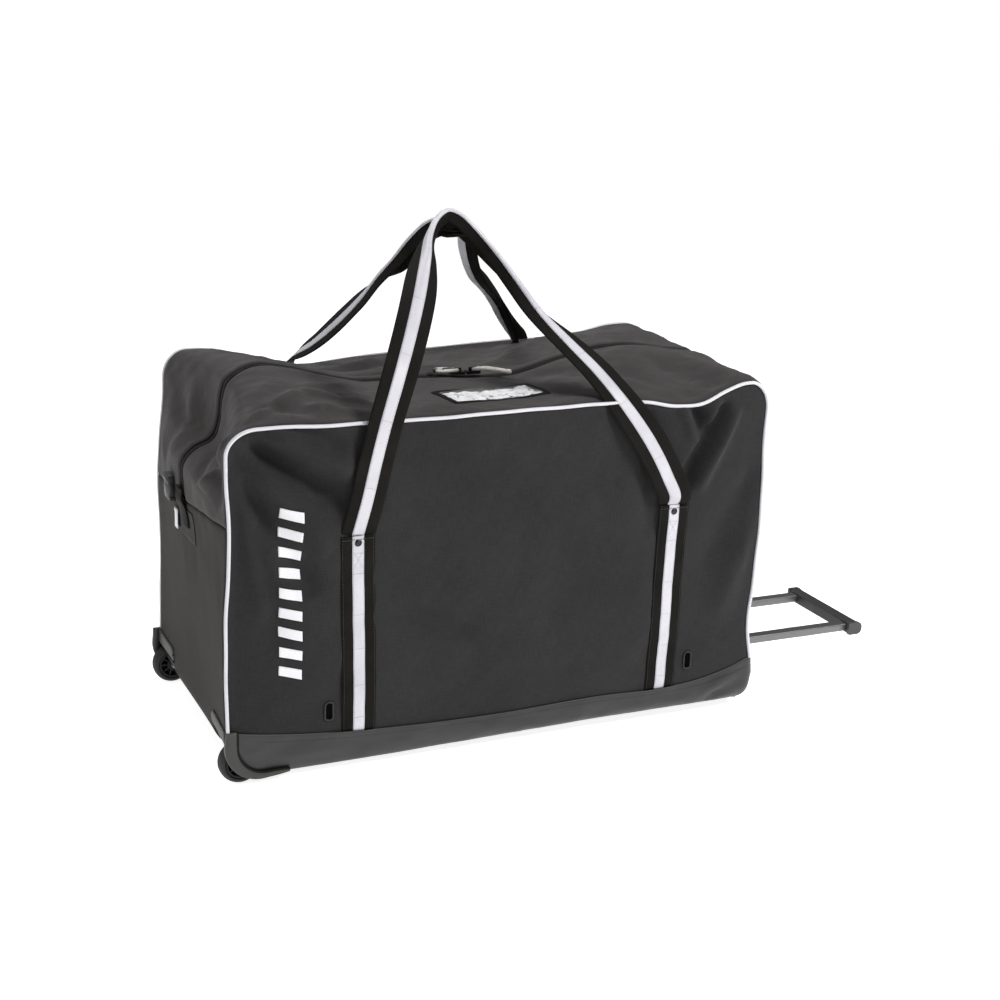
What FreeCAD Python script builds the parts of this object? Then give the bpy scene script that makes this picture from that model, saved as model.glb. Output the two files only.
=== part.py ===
import FreeCAD, Part
import math
import os
import Sketcher
from FreeCAD import Placement, Rotation, Vector

# A wheeled hockey equipment bag. Origin: centre of the base, on the floor.
# +X runs to the pull handle, -X to the wheels, -Y is the front, +Z is up. Millimetres.

SIZES = {
    # soft body
    "body_length": 838, "body_width": 417, "body_top": 516, "base_low": 14, "skirt_top": 66,
    "cloth": 2, "corner_round": 38, "piping_radius": 3, "seam_gap": 0.2, "gusset_low": 385,
    "wheel_end_round": 45, "handle_end_round": 20,
    # zipper
    "zip_width": 24, "teeth_width": 6, "teeth_height": 1.4, "slider_length": 22, "slider_width": 11,
    "pull_length": 42,
    # webbing
    "webbing_width": 50, "webbing_thick": 2.2, "stripe_width": 17, "stripe_thick": 0.6,
    "strap_x": 246, "hinge_z": 350, "rivet_radius": 5.5, "loop_top": 748,
    "end_grip_width": 38, "end_grip_z": 320,
    # identity window
    "window_x": -8, "window_y": -112, "window_length": 166, "window_width": 78, "window_border": 8,
    # slot vents
    "vent_x": 291, "vent_z": 95, "vent_height": 26, "vent_width": 11,
    # base
    "board_thick": 4, "board_length": 800, "board_width": 392, "floor_board_z": 66.5,
    "runner_x": -60, "runner_length": 208, "runner_width": 26, "runner_y": 160,
    # wheels
    "wheel_radius": 30, "wheel_width": 24, "wheel_x": -406, "wheel_y": 190, "axle_radius": 3,
    "tyre_thick": 6, "bush_thick": 1.5, "run_gap": 0.05,
    # telescopic handle
    "tube_y": 74, "tube_z": 54, "inner_width": 18, "inner_height": 13, "inner_wall": 1.2,
    "outer_wall": 1.5, "slide_gap": 0.3, "inner_start": 290, "outer_start": -30,
    "grip_end": 714, "grip_depth": 25, "grip_height": 20, "grip_length": 186,
    "button_length": 46, "button_height": 8, "button_travel": 4,
    "pin_radius": 2.5, "pin_x": 306, "ramp_slope": 0.75,
    # buckle and patch on the wheel end
    "patch_y": 0, "patch_z": 322, "patch_width": 76, "patch_height": 48, "buckle_y": 55, "buckle_z": 345,
    "fastener_radius": 2.5,
}

doc = FreeCAD.newDocument("hockey_bag")
sheet = doc.addObject("Spreadsheet::Sheet", "sizes")
for row, (alias, number) in enumerate(SIZES.items(), start=1):
    sheet.set(f"A{row}", alias)
    sheet.set(f"B{row}", str(number))
    sheet.setAlias(f"B{row}", alias)
doc.recompute()

nodes = {}


def bound(text):
    """The expression with every size's name pointed at the spreadsheet."""
    out = ""
    word = ""
    for letter in str(text) + " ":
        if letter.isalnum() or letter in "_.":
            word += letter
            continue
        out += f"sizes.{word}" if word in SIZES else word
        out += letter
        word = ""
    return out.strip()


def size(text):
    """The value that an expression in the sizes has now."""
    return float(sheet.evalExpression(bound(text)))


def keep(node, thing):
    """Name a finished sub-part: its label is its file's name."""
    thing.Label = node
    nodes[node] = thing
    return thing


def box(name, x, y, z):
    """A Part::Box from pairs of low and high expressions."""
    thing = doc.addObject("Part::Box", name)
    for side, axis, (low, high) in zip(("Length", "Width", "Height"), "xyz", (x, y, z)):
        thing.setExpression(side, bound(f"({high}) - ({low})"))
        thing.setExpression(f"Placement.Base.{axis}", bound(low))
    return thing


TURNS = {"x": Rotation(Vector(0, 1, 0), 90), "y": Rotation(Vector(1, 0, 0), -90), "z": Rotation()}


def cylinder(name, axis, centre, radius, low, high):
    """A Part::Cylinder along axis, from low to high, through centre."""
    thing = doc.addObject("Part::Cylinder", name)
    thing.Placement = Placement(Vector(), TURNS[axis])
    thing.setExpression("Radius", bound(radius))
    thing.setExpression("Height", bound(f"({high}) - ({low})"))
    for letter, place in zip("xyz", centre):
        thing.setExpression(f"Placement.Base.{letter}", bound(low if letter == axis else place))
    return thing


def cut(name, base, *tools):
    """Base less every tool."""
    for count, tool in enumerate(tools):
        last = count == len(tools) - 1
        thing = doc.addObject("Part::Cut", name if last else f"{name}_less_{count}")
        thing.Base = base
        thing.Tool = tool
        base = thing
    return base


def fuse(name, *things):
    """All of them as one solid."""
    thing = doc.addObject("Part::MultiFuse", name)
    thing.Shapes = list(things)
    thing.Refine = True
    return thing


def group(name, *things):
    """Identical pieces in one node, each a solid of its own."""
    thing = doc.addObject("Part::Compound", name)
    thing.Links = list(things)
    return thing


def mirror(name, thing):
    """The same piece on the other side of the XZ plane."""
    copy = doc.addObject("Part::Mirroring", name)
    copy.Source = thing
    copy.Normal = Vector(0, 1, 0)
    return copy


PLANES = {"z": "XY_Plane", "y": "XZ_Plane", "x": "YZ_Plane"}


def sketch_on(body, name, axis, level, outlines=(), circles=()):
    """A sketch square to axis at level. An outline is corner expressions, joined by lines."""
    plane = [item for item in body.Origin.OriginFeatures if item.Role == PLANES[axis]][0]
    sketch = body.newObject("Sketcher::SketchObject", name)
    sketch.AttachmentSupport = [(plane, "")]
    sketch.MapMode = "FlatFace"
    # the XZ plane faces -Y
    sign = "-" if axis == "y" else ""
    sketch.setExpression("AttachmentOffset.Base.z", bound(f"{sign}({level})"))
    for corners in outlines:
        first = sketch.GeometryCount
        spots = [(size(u), size(v)) for u, v in corners]
        for spot, following in zip(spots, spots[1:] + spots[:1]):
            sketch.addGeometry(Part.LineSegment(Vector(*spot, 0), Vector(*following, 0)), False)
        for index, corner in enumerate(corners):
            line = first + index
            after = first + (index + 1) % len(corners)
            sketch.addConstraint(Sketcher.Constraint("Coincident", line, 2, after, 1))
            pin_point(sketch, line, 1, corner, spots[index])
    for u, v, radius in circles:
        spot = (size(u), size(v))
        arc = sketch.addGeometry(Part.Circle(Vector(*spot, 0), Vector(0, 0, 1), size(radius)), False)
        pin_point(sketch, arc, 3, (u, v), spot)
        rule = sketch.addConstraint(Sketcher.Constraint("Radius", arc, size(radius)))
        sketch.setExpression(f"Constraints[{rule}]", bound(radius))
    return sketch


def pin_point(sketch, line, end, expressions, spot):
    """Hold a point of the sketch at its two expressions."""
    for kind, expression, value in zip(("DistanceX", "DistanceY"), expressions, spot):
        rule = sketch.addConstraint(Sketcher.Constraint(kind, -1, 1, line, end, value))
        sketch.setExpression(f"Constraints[{rule}]", bound(expression))


def padded(name, axis, low, high, outlines=(), circles=()):
    """A body whose first feature pads a sketch along axis, from low to high."""
    body = doc.addObject("PartDesign::Body", name)
    level = high if axis == "y" else low
    sketch = sketch_on(body, f"{name}_outline", axis, level, outlines, circles)
    pad = body.newObject("PartDesign::Pad", f"{name}_pad")
    pad.Profile = sketch
    pad.setExpression("Length", bound(f"({high}) - ({low})"))
    doc.recompute()
    return body


def pocket(body, name, axis, low, high, outlines=(), circles=()):
    """Cut a sketch out of the body along axis, from low to high."""
    before = body.Shape.Volume
    # a pocket runs against its sketch's normal, which is -Y on the XZ plane
    level = low if axis == "y" else high
    sketch = sketch_on(body, f"{name}_outline", axis, level, outlines, circles)
    thing = body.newObject("PartDesign::Pocket", name)
    thing.Profile = sketch
    thing.setExpression("Length", bound(f"({high}) - ({low})"))
    doc.recompute()
    if body.Shape.Volume > before - 1e-3:
        raise RuntimeError(f"{name} cuts nothing")
    return thing


def rounded(body, name, radius, picks):
    """Round the body's edges whose bounding box picks accepts."""
    base = body.Tip
    edges = [f"Edge{i}" for i, edge in enumerate(base.Shape.Edges, start=1) if picks(edge.BoundBox)]
    fillet = body.newObject("PartDesign::Fillet", name)
    fillet.Base = (base, edges)
    fillet.setExpression("Radius", bound(radius))
    doc.recompute()
    return fillet


def hollowed(body, name, wall, picks):
    """Leave a wall inside the body, open at the faces that picks accepts."""
    base = body.Tip
    faces = [f"Face{i}" for i, face in enumerate(base.Shape.Faces, start=1) if picks(face.BoundBox)]
    shell = body.newObject("PartDesign::Thickness", name)
    shell.Base = (base, faces)
    shell.Reversed = True
    shell.setExpression("Value", bound(wall))
    doc.recompute()
    return shell


def revolved(name, axis, centre, corners):
    """A body turned about axis through centre. Corners are (along axis, radius) expressions."""
    body = doc.addObject("PartDesign::Body", name)
    sketch = sketch_on(body, f"{name}_outline", "z", "0", [corners])
    turn = body.newObject("PartDesign::Revolution", f"{name}_turn")
    turn.Profile = sketch
    turn.ReferenceAxis = (sketch, ["H_Axis"])
    turn.Angle = 360
    turns = {"x": Rotation(), "y": Rotation(Vector(0, 0, 1), 90), "z": Rotation(Vector(0, 1, 0), -90)}
    body.Placement = Placement(Vector(*[size(place) for place in centre]), turns[axis])
    for letter, place in zip("xyz", centre):
        body.setExpression(f"Placement.Base.{letter}", bound(place))
    doc.recompute()
    return body


def rectangle(u, v):
    """The four corners of a rectangle from low and high pairs."""
    return [(u[0], v[0]), (u[1], v[0]), (u[1], v[1]), (u[0], v[1])]


def flat(box_length):
    return box_length < 1e-3


# ---------------------------------------------------------------- base: skirt, boards, runners

def base_skirt():
    """The coated tray under the bag: floor and four low walls, open at the top, with a notch
    at each wheel and a hole for each handle tube."""
    half = "body_length / 2"
    side = "body_width / 2"
    body = padded("base_skirt", "y", f"-({side})", side,
                  [rectangle((f"-({half})", half), ("base_low", "skirt_top"))])
    low = size("base_low")
    rounded(body, "skirt_wheel_round", "wheel_end_round",
            lambda b: flat(b.XLength) and b.XMax < 0 and b.ZMax < low + 1)
    rounded(body, "skirt_handle_round", "handle_end_round",
            lambda b: flat(b.XLength) and b.XMax > size(half) - 1 and b.ZMax < low + 1)
    hollowed(body, "skirt_wall", "cloth", lambda b: flat(b.ZLength) and b.ZMax > size("skirt_top") - 1)
    notch_end = "wheel_x + wheel_radius + 14"
    for name, inner, outer in (("front", f"-({side}) + cloth", "-wheel_y + 20"),
                               ("rear", "wheel_y - 20", f"{side} - cloth")):
        pocket(body, f"wheel_notch_{name}", "z", "0", "skirt_top - 2",
               [rectangle((f"-({half}) - 5", notch_end), (inner, outer))])
    holes = []
    for sign in ("-", ""):
        centre = f"{sign}tube_y"
        holes.append(rectangle((f"{centre} - inner_width / 2 - 3", f"{centre} + inner_width / 2 + 3"),
                               ("tube_z - inner_height / 2 - 3", "tube_z + inner_height / 2 + 3")))
    pocket(body, "tube_holes", "x", f"{half} - 5", f"{half} + 5", holes)
    keep("base_skirt", body)


def base_board():
    """The stiff floor that carries the wheels and the handle, notched at the wheels."""
    low = "base_low + cloth + 0.4"
    body = padded("base_board", "z", low, f"{low} + board_thick",
                  [rectangle(("-body_length / 2 + wheel_end_round", "board_length / 2 - 4"),
                             ("-board_width / 2", "board_width / 2"))])
    notch_end = "wheel_x + wheel_radius + 15"
    for name, first, second in (("front", "-board_width / 2 - 5", "-wheel_y + 21"),
                                ("rear", "wheel_y - 21", "board_width / 2 + 5")):
        pocket(body, f"board_notch_{name}", "z", "0", "skirt_top",
               [rectangle(("-board_length / 2", notch_end), (first, second))])
    keep("base_board", body)


def floor_board():
    """The loose cover that lies over the handle tubes."""
    body = padded("floor_board", "z", "floor_board_z", "floor_board_z + 3",
                  [rectangle(("-body_length / 2 + 14", "body_length / 2 - 14"),
                             ("-body_width / 2 + 10", "body_width / 2 - 10"))])
    rounded(body, "floor_corners", "20", lambda b: flat(b.XLength) and flat(b.YLength))
    keep("floor_board", body)


def runners():
    """Three skid bars between the base and the floor, and two short ones at the handle end."""
    top = "base_low - seam_gap"
    start = "runner_x - runner_length / 2"
    end = "runner_x + runner_length / 2"
    bars = []
    for name, x, middle in (("front", (start, end), "-runner_y"), ("rear", (start, end), "runner_y"),
                            ("middle", ("-runner_length", "runner_length"), "0"),
                            ("foot_front", ("body_length / 2 - 90", "body_length / 2 - 50"), "-110"),
                            ("foot_rear", ("body_length / 2 - 90", "body_length / 2 - 50"), "110")):
        y = (f"{middle} - runner_width / 2", f"{middle} + runner_width / 2")
        body = padded(f"runner_{name}", "z", "0", top, [rectangle(x, y)])
        rounded(body, f"runner_{name}_ends", "runner_width / 3",
                lambda b: flat(b.XLength) and flat(b.YLength))
        bars.append(body)
    keep("skid_runners", group("skid_runners", *bars))


# ---------------------------------------------------------------- soft body

def side_panel():
    """The front panel, and its twin at the rear: it stands inside the piping."""
    inset = "(2 * piping_radius + seam_gap)"
    body = padded("front_panel", "y", "-body_width / 2", "-body_width / 2 + cloth",
                  [rectangle((f"-body_length / 2 + {inset}", f"body_length / 2 - {inset}"),
                             ("skirt_top + seam_gap", f"body_top - {inset}"))])
    middle = size("body_top") / 2
    rounded(body, "panel_corners", f"corner_round - {inset}",
            lambda b: flat(b.XLength) and flat(b.ZLength) and b.ZMin > middle)
    slots = []
    for sign in ("-", ""):
        slots.append(rectangle((f"{sign}vent_x - vent_width / 2", f"{sign}vent_x + vent_width / 2"),
                               ("vent_z - vent_height / 2", "vent_z + vent_height / 2")))
    pocket(body, "vent_slots", "y", "-body_width / 2 - 1", "-body_width / 2 + 5", slots)
    keep("front_panel", body)
    keep("rear_panel", mirror("rear_panel", body))


def arch(name, y_low, y_high, outset, wall, low):
    """A band that goes up one end, over the top and down the other, outset from the cloth."""
    half = f"body_length / 2 + {outset}"
    body = padded(name, "y", y_low, y_high,
                  [rectangle((f"-({half})", half), (low, f"body_top + {outset}"))])
    top = size(f"body_top + {outset}")
    rounded(body, f"{name}_corners", f"corner_round + {outset}",
            lambda b: flat(b.XLength) and b.ZMin > top - 1 and b.YLength > 1)
    hollowed(body, f"{name}_wall", wall,
             lambda b: flat(b.YLength) or (flat(b.ZLength) and b.ZMax < top - 1))
    return body


def top_panels():
    """The cloth on each side of the zipper: the top, and the upper part of both ends."""
    edge = "body_width / 2 - 2 * piping_radius - seam_gap"
    front = arch("top_panel_front", f"-({edge})", "-zip_width / 2 - seam_gap", "0", "cloth",
                 "gusset_low + seam_gap")
    keep("top_panel_front", front)
    keep("top_panel_rear", mirror("top_panel_rear", front))


def end_panels():
    """The flat panels below the seam at both ends."""
    edge = "body_width / 2 - 2 * piping_radius - seam_gap"
    for node, low, high in (("wheel_end_panel", "-body_length / 2", "-body_length / 2 + cloth"),
                            ("handle_end_panel", "body_length / 2 - cloth", "body_length / 2")):
        body = padded(node, "x", low, high,
                      [rectangle((f"-({edge})", edge), ("skirt_top + seam_gap", "gusset_low"))])
        keep(node, body)


def piping():
    """The round white cord in the seam: up, over and down each side panel."""
    across = "-body_width / 2 + piping_radius"
    reach = "body_length / 2 - piping_radius"
    crown = "body_top - piping_radius"
    bend = "corner_round - piping_radius"
    pieces = [cylinder("piping_top", "x", ("0", across, crown), "piping_radius",
                       f"-({reach}) + {bend}", f"{reach} - ({bend})")]
    for name, side, turn in (("wheel", "-1", 180), ("handle", "1", 90)):
        pieces.append(cylinder(f"piping_{name}_leg", "z", (f"{side} * ({reach})", across, "0"),
                               "piping_radius", "skirt_top + seam_gap", f"{crown} - ({bend})"))
        ring = doc.addObject("Part::Torus", f"piping_{name}_bend")
        ring.setExpression("Radius1", bound(bend))
        ring.setExpression("Radius2", "sizes.piping_radius")
        ring.Angle3 = 90
        # the ring lies in XZ and its quarter turns towards this end
        start = Rotation(Vector(1, 0, 0), 90)
        ring.Placement = Placement(Vector(), Rotation(Vector(0, 1, 0), 90 - turn) * start)
        ring.setExpression("Placement.Base.x", bound(f"{side} * ({reach} - ({bend}))"))
        ring.setExpression("Placement.Base.y", bound(across))
        ring.setExpression("Placement.Base.z", bound(f"{crown} - ({bend})"))
        pieces.append(ring)
    front = keep("front_piping", fuse("front_piping", *pieces))
    keep("rear_piping", mirror("rear_piping", front))


def vents():
    """Rimmed slots near the foot of each side panel."""
    rims = []
    for side, sign in (("wheel", "-"), ("handle", "")):
        x = f"{sign}vent_x"
        wide = "vent_width / 2"
        tall = "vent_height / 2"
        body = padded(f"vent_{side}", "y", "-body_width / 2 - 1.2", "-body_width / 2 - seam_gap",
                      [rectangle((f"{x} - {wide}", f"{x} + {wide}"),
                                 (f"vent_z - {tall}", f"vent_z + {tall}"))])
        rounded(body, f"vent_{side}_corners", "vent_width / 2 - 0.1",
                lambda b: flat(b.XLength) and flat(b.ZLength))
        pocket(body, f"vent_{side}_slot", "y", "-body_width / 2 - 3", "-body_width / 2 + 3",
               [rectangle((f"{x} - {wide} + 3", f"{x} + {wide} - 3"),
                          (f"vent_z - {tall} + 5", f"vent_z + {tall} - 5"))])
        rims += [body, mirror(f"vent_{side}_rear", body)]
    keep("vent_rims", group("vent_rims", *rims))


# ---------------------------------------------------------------- zipper

def zipper():
    """Tape and teeth over the top, and two sliders with cord pulls that meet in the middle."""
    tape = arch("zipper_tape", "-zip_width / 2", "zip_width / 2", "0", "1.2", "gusset_low + seam_gap")
    keep("zipper_tape", tape)
    teeth = arch("zipper_teeth", "-teeth_width / 2", "teeth_width / 2",
                 "teeth_height + seam_gap", "teeth_height", "gusset_low + 6")
    keep("zipper_teeth", teeth)
    for node, sign, gap in (("left", "-", "-1.5"), ("right", "", "1.5")):
        near = gap
        far = f"{gap} + {sign}slider_length"
        x = (far, near) if sign else (near, far)
        foot = "body_top + 2 * seam_gap"
        crest = "body_top + teeth_height + 2 * seam_gap + 0.2"
        plate = box(f"slider_{node}_plate", x, ("-slider_width / 2", "slider_width / 2"),
                    (crest, f"{crest} + 2.6"))
        cheeks = []
        for cheek, y in (("front", ("-slider_width / 2", "-slider_width / 2 + 1.6")),
                         ("rear", ("slider_width / 2 - 1.6", "slider_width / 2"))):
            cheeks.append(box(f"slider_{node}_{cheek}", x, y, (foot, f"{crest} + 1")))
        bridge_x = (f"{far} + 5", f"{near} - 5") if sign else (f"{near} + 5", f"{far} - 5")
        arm = box(f"slider_{node}_arm", bridge_x, ("-1.6", "1.6"), (f"{crest} + 2", f"{crest} + 8"))
        eye_x = f"{near} {'-' if sign else '+'} slider_length / 2"
        eye = cylinder(f"slider_{node}_eye", "y", (eye_x, "0", f"{crest} + 4.8"), "1.7", "-4", "4")
        whole = fuse(f"slider_{node}_all", plate, *cheeks, arm)
        keep(f"zip_slider_{node}", cut(f"zip_slider_{node}", whole, eye))
        pull(node, sign, eye_x, f"{crest} + 4.8")


def pull(node, sign, eye_x, eye_z):
    """A cord pull: a round pin in the slider's eye, two cords and a grip at the end."""
    toward = "-" if sign else "+"
    end = f"{eye_x} {toward} pull_length"
    pin = cylinder(f"pull_{node}_pin", "y", (eye_x, "0", eye_z), "1.7 - run_gap", "-3.6", "3.6")
    cords = []
    for name, y in (("front", "-2.9"), ("rear", "2.9")):
        low, high = (end, eye_x) if sign else (eye_x, end)
        cords.append(cylinder(f"pull_{node}_{name}", "x", ("0", y, eye_z), "1.1", low, high))
    low, high = (end, f"{end} + 20") if sign else (f"{end} - 20", end)
    grip = box(f"pull_{node}_grip", (low, high), ("-4.4", "4.4"), (f"{eye_z} - 1.9", f"{eye_z} + 1.9"))
    keep(f"zip_pull_{node}", fuse(f"zip_pull_{node}", pin, *cords, grip))


# ---------------------------------------------------------------- identity window

def identity_window():
    """A raised frame on the top, a clear window in it and a card under the window."""
    x = ("window_x - window_length / 2", "window_x + window_length / 2")
    y = ("window_y - window_width / 2", "window_y + window_width / 2")
    floor = "body_top + seam_gap"
    body = padded("id_frame", "z", floor, f"{floor} + 3", [rectangle(x, y)])
    rounded(body, "id_corners", "6", lambda b: flat(b.XLength) and flat(b.YLength))
    border_x = (f"{x[0]} + window_border", f"{x[1]} - window_border")
    border_y = (f"{y[0]} + window_border", f"{y[1]} - window_border")
    pocket(body, "id_opening", "z", "body_top", "body_top + 6", [rectangle(border_x, border_y)])
    keep("id_frame", body)
    inner_x = (f"{border_x[0]} + seam_gap", f"{border_x[1]} - seam_gap")
    inner_y = (f"{border_y[0]} + seam_gap", f"{border_y[1]} - seam_gap")
    keep("id_card", box("id_card", inner_x, inner_y, (floor, f"{floor} + 0.5")))
    keep("id_clear", box("id_clear", inner_x, inner_y, (f"{floor} + 0.8", f"{floor} + 1.4")))


# ---------------------------------------------------------------- webbing

def anchor_straps():
    """Webbing sewn up each side panel from the skirt to the rivet, with a stripe on it."""
    face = "-body_width / 2 - seam_gap"
    skin = f"{face} - webbing_thick"
    straps = []
    stripes = []
    rivets = []
    for side, sign in (("wheel", "-"), ("handle", "")):
        x = f"{sign}strap_x"
        z = ("skirt_top + seam_gap", "hinge_z - 1")
        webbing = box(f"anchor_{side}", (f"{x} - webbing_width / 2", f"{x} + webbing_width / 2"),
                      (skin, face), z)
        stripe = box(f"anchor_stripe_{side}", (f"{x} - stripe_width / 2", f"{x} + stripe_width / 2"),
                     (f"{skin} - 0.1 - stripe_thick", f"{skin} - 0.1"), z)
        straps += [webbing, mirror(f"anchor_{side}_rear", webbing)]
        stripes += [stripe, mirror(f"anchor_stripe_{side}_rear", stripe)]
        lift = f"{skin} - 0.1 - stripe_thick - 0.1"
        rivet = revolved(f"rivet_{side}", "y", (x, lift, "hinge_z - 9"),
                         [("-2.4", "0"), ("0", "0"), ("0", "rivet_radius"), ("-1", "rivet_radius"),
                          ("-2.4", "rivet_radius / 2")])
        rivets += [rivet, mirror(f"rivet_{side}_rear", rivet)]
    keep("anchor_webbing", group("anchor_webbing", *straps))
    keep("anchor_stripes", group("anchor_stripes", *stripes))
    keep("strap_rivets", group("strap_rivets", *rivets))


# The front loop's path: how far along X from the middle, as a share of strap_x, then how far out
# from the middle towards the front, as a share of the strap's stand-off, and how high between the
# rivet and the top of the loop. The last number turns the webbing's face from front to up.
LOOP_PATH = [
    (-1.000, 1.000, 0.000, 0.00),
    (-0.965, 1.008, 0.125, 0.00),
    (-0.910, 1.014, 0.275, 0.00),
    (-0.840, 1.014, 0.425, 0.02),
    (-0.755, 0.955, 0.540, 0.08),
    (-0.650, 0.740, 0.660, 0.14),
    (-0.480, 0.440, 0.810, 0.20),
    (-0.290, 0.215, 0.945, 0.22),
    (-0.100, 0.082, 1.000, 0.22),
    (0.070, 0.102, 0.960, 0.26),
    (0.250, 0.320, 0.810, 0.40),
    (0.430, 0.590, 0.670, 0.42),
    (0.590, 0.850, 0.560, 0.25),
    (0.690, 0.990, 0.465, 0.08),
    (0.780, 1.016, 0.360, 0.02),
    (0.890, 1.014, 0.220, 0.00),
    (0.980, 1.006, 0.080, 0.00),
    (1.000, 1.000, 0.000, 0.00),
]


LOOP_SECTIONS = 49


def webbing_loop(name, width, thick, lift):
    """A band along the loop's path, lifted off the path towards its outer face."""
    stand_off = size("body_width / 2 + seam_gap + webbing_thick / 2 + 1.2")
    start = size("hinge_z") + 3
    rise = size("loop_top") - start
    places = []
    for along, out, up, turn in LOOP_PATH:
        places.append(Vector(along * size("strap_x"), -out * stand_off, start + up * rise))
    curve = Part.BSplineCurve()
    curve.interpolate(places)
    marks = [curve.parameter(place) for place in places]
    sections = []
    for spot in curve.discretize(Number=LOOP_SECTIONS):
        here = curve.parameter(spot)
        after = min(index for index, mark in enumerate(marks) if mark >= here - 1e-9)
        before = max(after - 1, 0)
        share = (here - marks[before]) / (marks[after] - marks[before]) if after else 0
        turn = LOOP_PATH[before][3] * (1 - share) + LOOP_PATH[after][3] * share
        face = Vector(0, -math.cos(turn * math.pi / 2), math.sin(turn * math.pi / 2))
        heading = curve.tangent(here)[0]
        across = heading.cross(face).normalize()
        outward = across.cross(heading).normalize()
        middle = spot + outward * lift
        corners = []
        for side, skin in ((-1, -1), (1, -1), (1, 1), (-1, 1)):
            corners.append(middle + across * (side * width / 2) + outward * (skin * thick / 2))
        sections.append(Part.makePolygon(corners + corners[:1]))
    thing = doc.addObject("Part::Feature", name)
    thing.Shape = Part.makeLoft(sections, True, True)
    thing.Placement = Placement()
    return thing


def carry_loops():
    """The two carry handles: webbing with a stripe, held up so that they meet over the zipper."""
    thick = size("webbing_thick")
    stripe = size("stripe_thick")
    webbing = keep("front_loop_webbing",
                   webbing_loop("front_loop_webbing", size("webbing_width"), thick, 0))
    band = keep("front_loop_stripe",
                webbing_loop("front_loop_stripe", size("stripe_width"), stripe,
                             thick / 2 + stripe / 2 + 0.15))
    keep("rear_loop_webbing", mirror("rear_loop_webbing", webbing))
    keep("rear_loop_stripe", mirror("rear_loop_stripe", band))


def end_grip():
    """A webbing grab handle on the handle end, standing off the panel in its middle."""
    face = "body_length / 2 + seam_gap"
    z = ("end_grip_z - end_grip_width / 2", "end_grip_z + end_grip_width / 2")
    body = padded("end_grab_handle", "z", z[0], z[1],
                  [[(face, "-95"), (f"{face} + 2", "-95"), (f"{face} + 2.4", "-70"),
                    (f"{face} + 16", "-45"), (f"{face} + 16", "45"), (f"{face} + 2.4", "70"),
                    (f"{face} + 2", "95"), (face, "95"), (face, "68"), (f"{face} + 13.6", "44"),
                    (f"{face} + 13.6", "-44"), (face, "-68")]])
    keep("end_grab_handle", body)


def wheel_end_buckle():
    """A sewn patch, and next to it a strap with a side-release buckle and a blank tag."""
    skin = "-body_length / 2 - seam_gap"
    keep("end_patch", box("end_patch", (f"{skin} - 1.4", skin),
                          ("patch_y - patch_width / 2", "patch_y + patch_width / 2"),
                          ("patch_z - patch_height / 2", "patch_z + patch_height / 2")))
    narrow = ("buckle_y - 12.5", "buckle_y + 12.5")
    keep("buckle_strap", box("buckle_strap", (f"{skin} - 1.6", skin), narrow,
                             ("buckle_z - 42", "buckle_z + 6")))
    wide = ("buckle_y - 16", "buckle_y + 16")
    deep = (f"{skin} - 9", f"{skin} - 1.8")
    shell = padded("buckle_socket", "x", deep[0], deep[1],
                   [rectangle(wide, ("buckle_z - 2", "buckle_z + 26"))])
    rounded(shell, "socket_corners", "4", lambda b: flat(b.YLength) and flat(b.ZLength))
    pocket(shell, "socket_mouth", "z", "buckle_z + 8", "buckle_z + 30",
           [rectangle((f"{skin} - 7.4", f"{skin} - 3.4"), ("buckle_y - 13", "buckle_y + 13"))])
    keep("buckle_socket", shell)
    reach = ("buckle_z + 9", "buckle_z + 27")
    thin = (f"{skin} - 7", f"{skin} - 3.8")
    plug = fuse("buckle_plug",
                box("plug_bar", deep, wide, ("buckle_z + 26.4", "buckle_z + 36")),
                box("plug_tongue", thin, ("buckle_y - 3", "buckle_y + 3"), reach),
                box("plug_prong_front", thin, ("buckle_y - 12.5", "buckle_y - 9"), reach),
                box("plug_prong_rear", thin, ("buckle_y + 9", "buckle_y + 12.5"), reach))
    keep("buckle_plug", plug)
    keep("blank_tag", box("blank_tag", (f"{skin} - 2.6", f"{skin} - 1.8"),
                          ("buckle_y - 11", "buckle_y + 5"), ("buckle_z - 46", "buckle_z - 16")))


# ---------------------------------------------------------------- wheels

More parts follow.
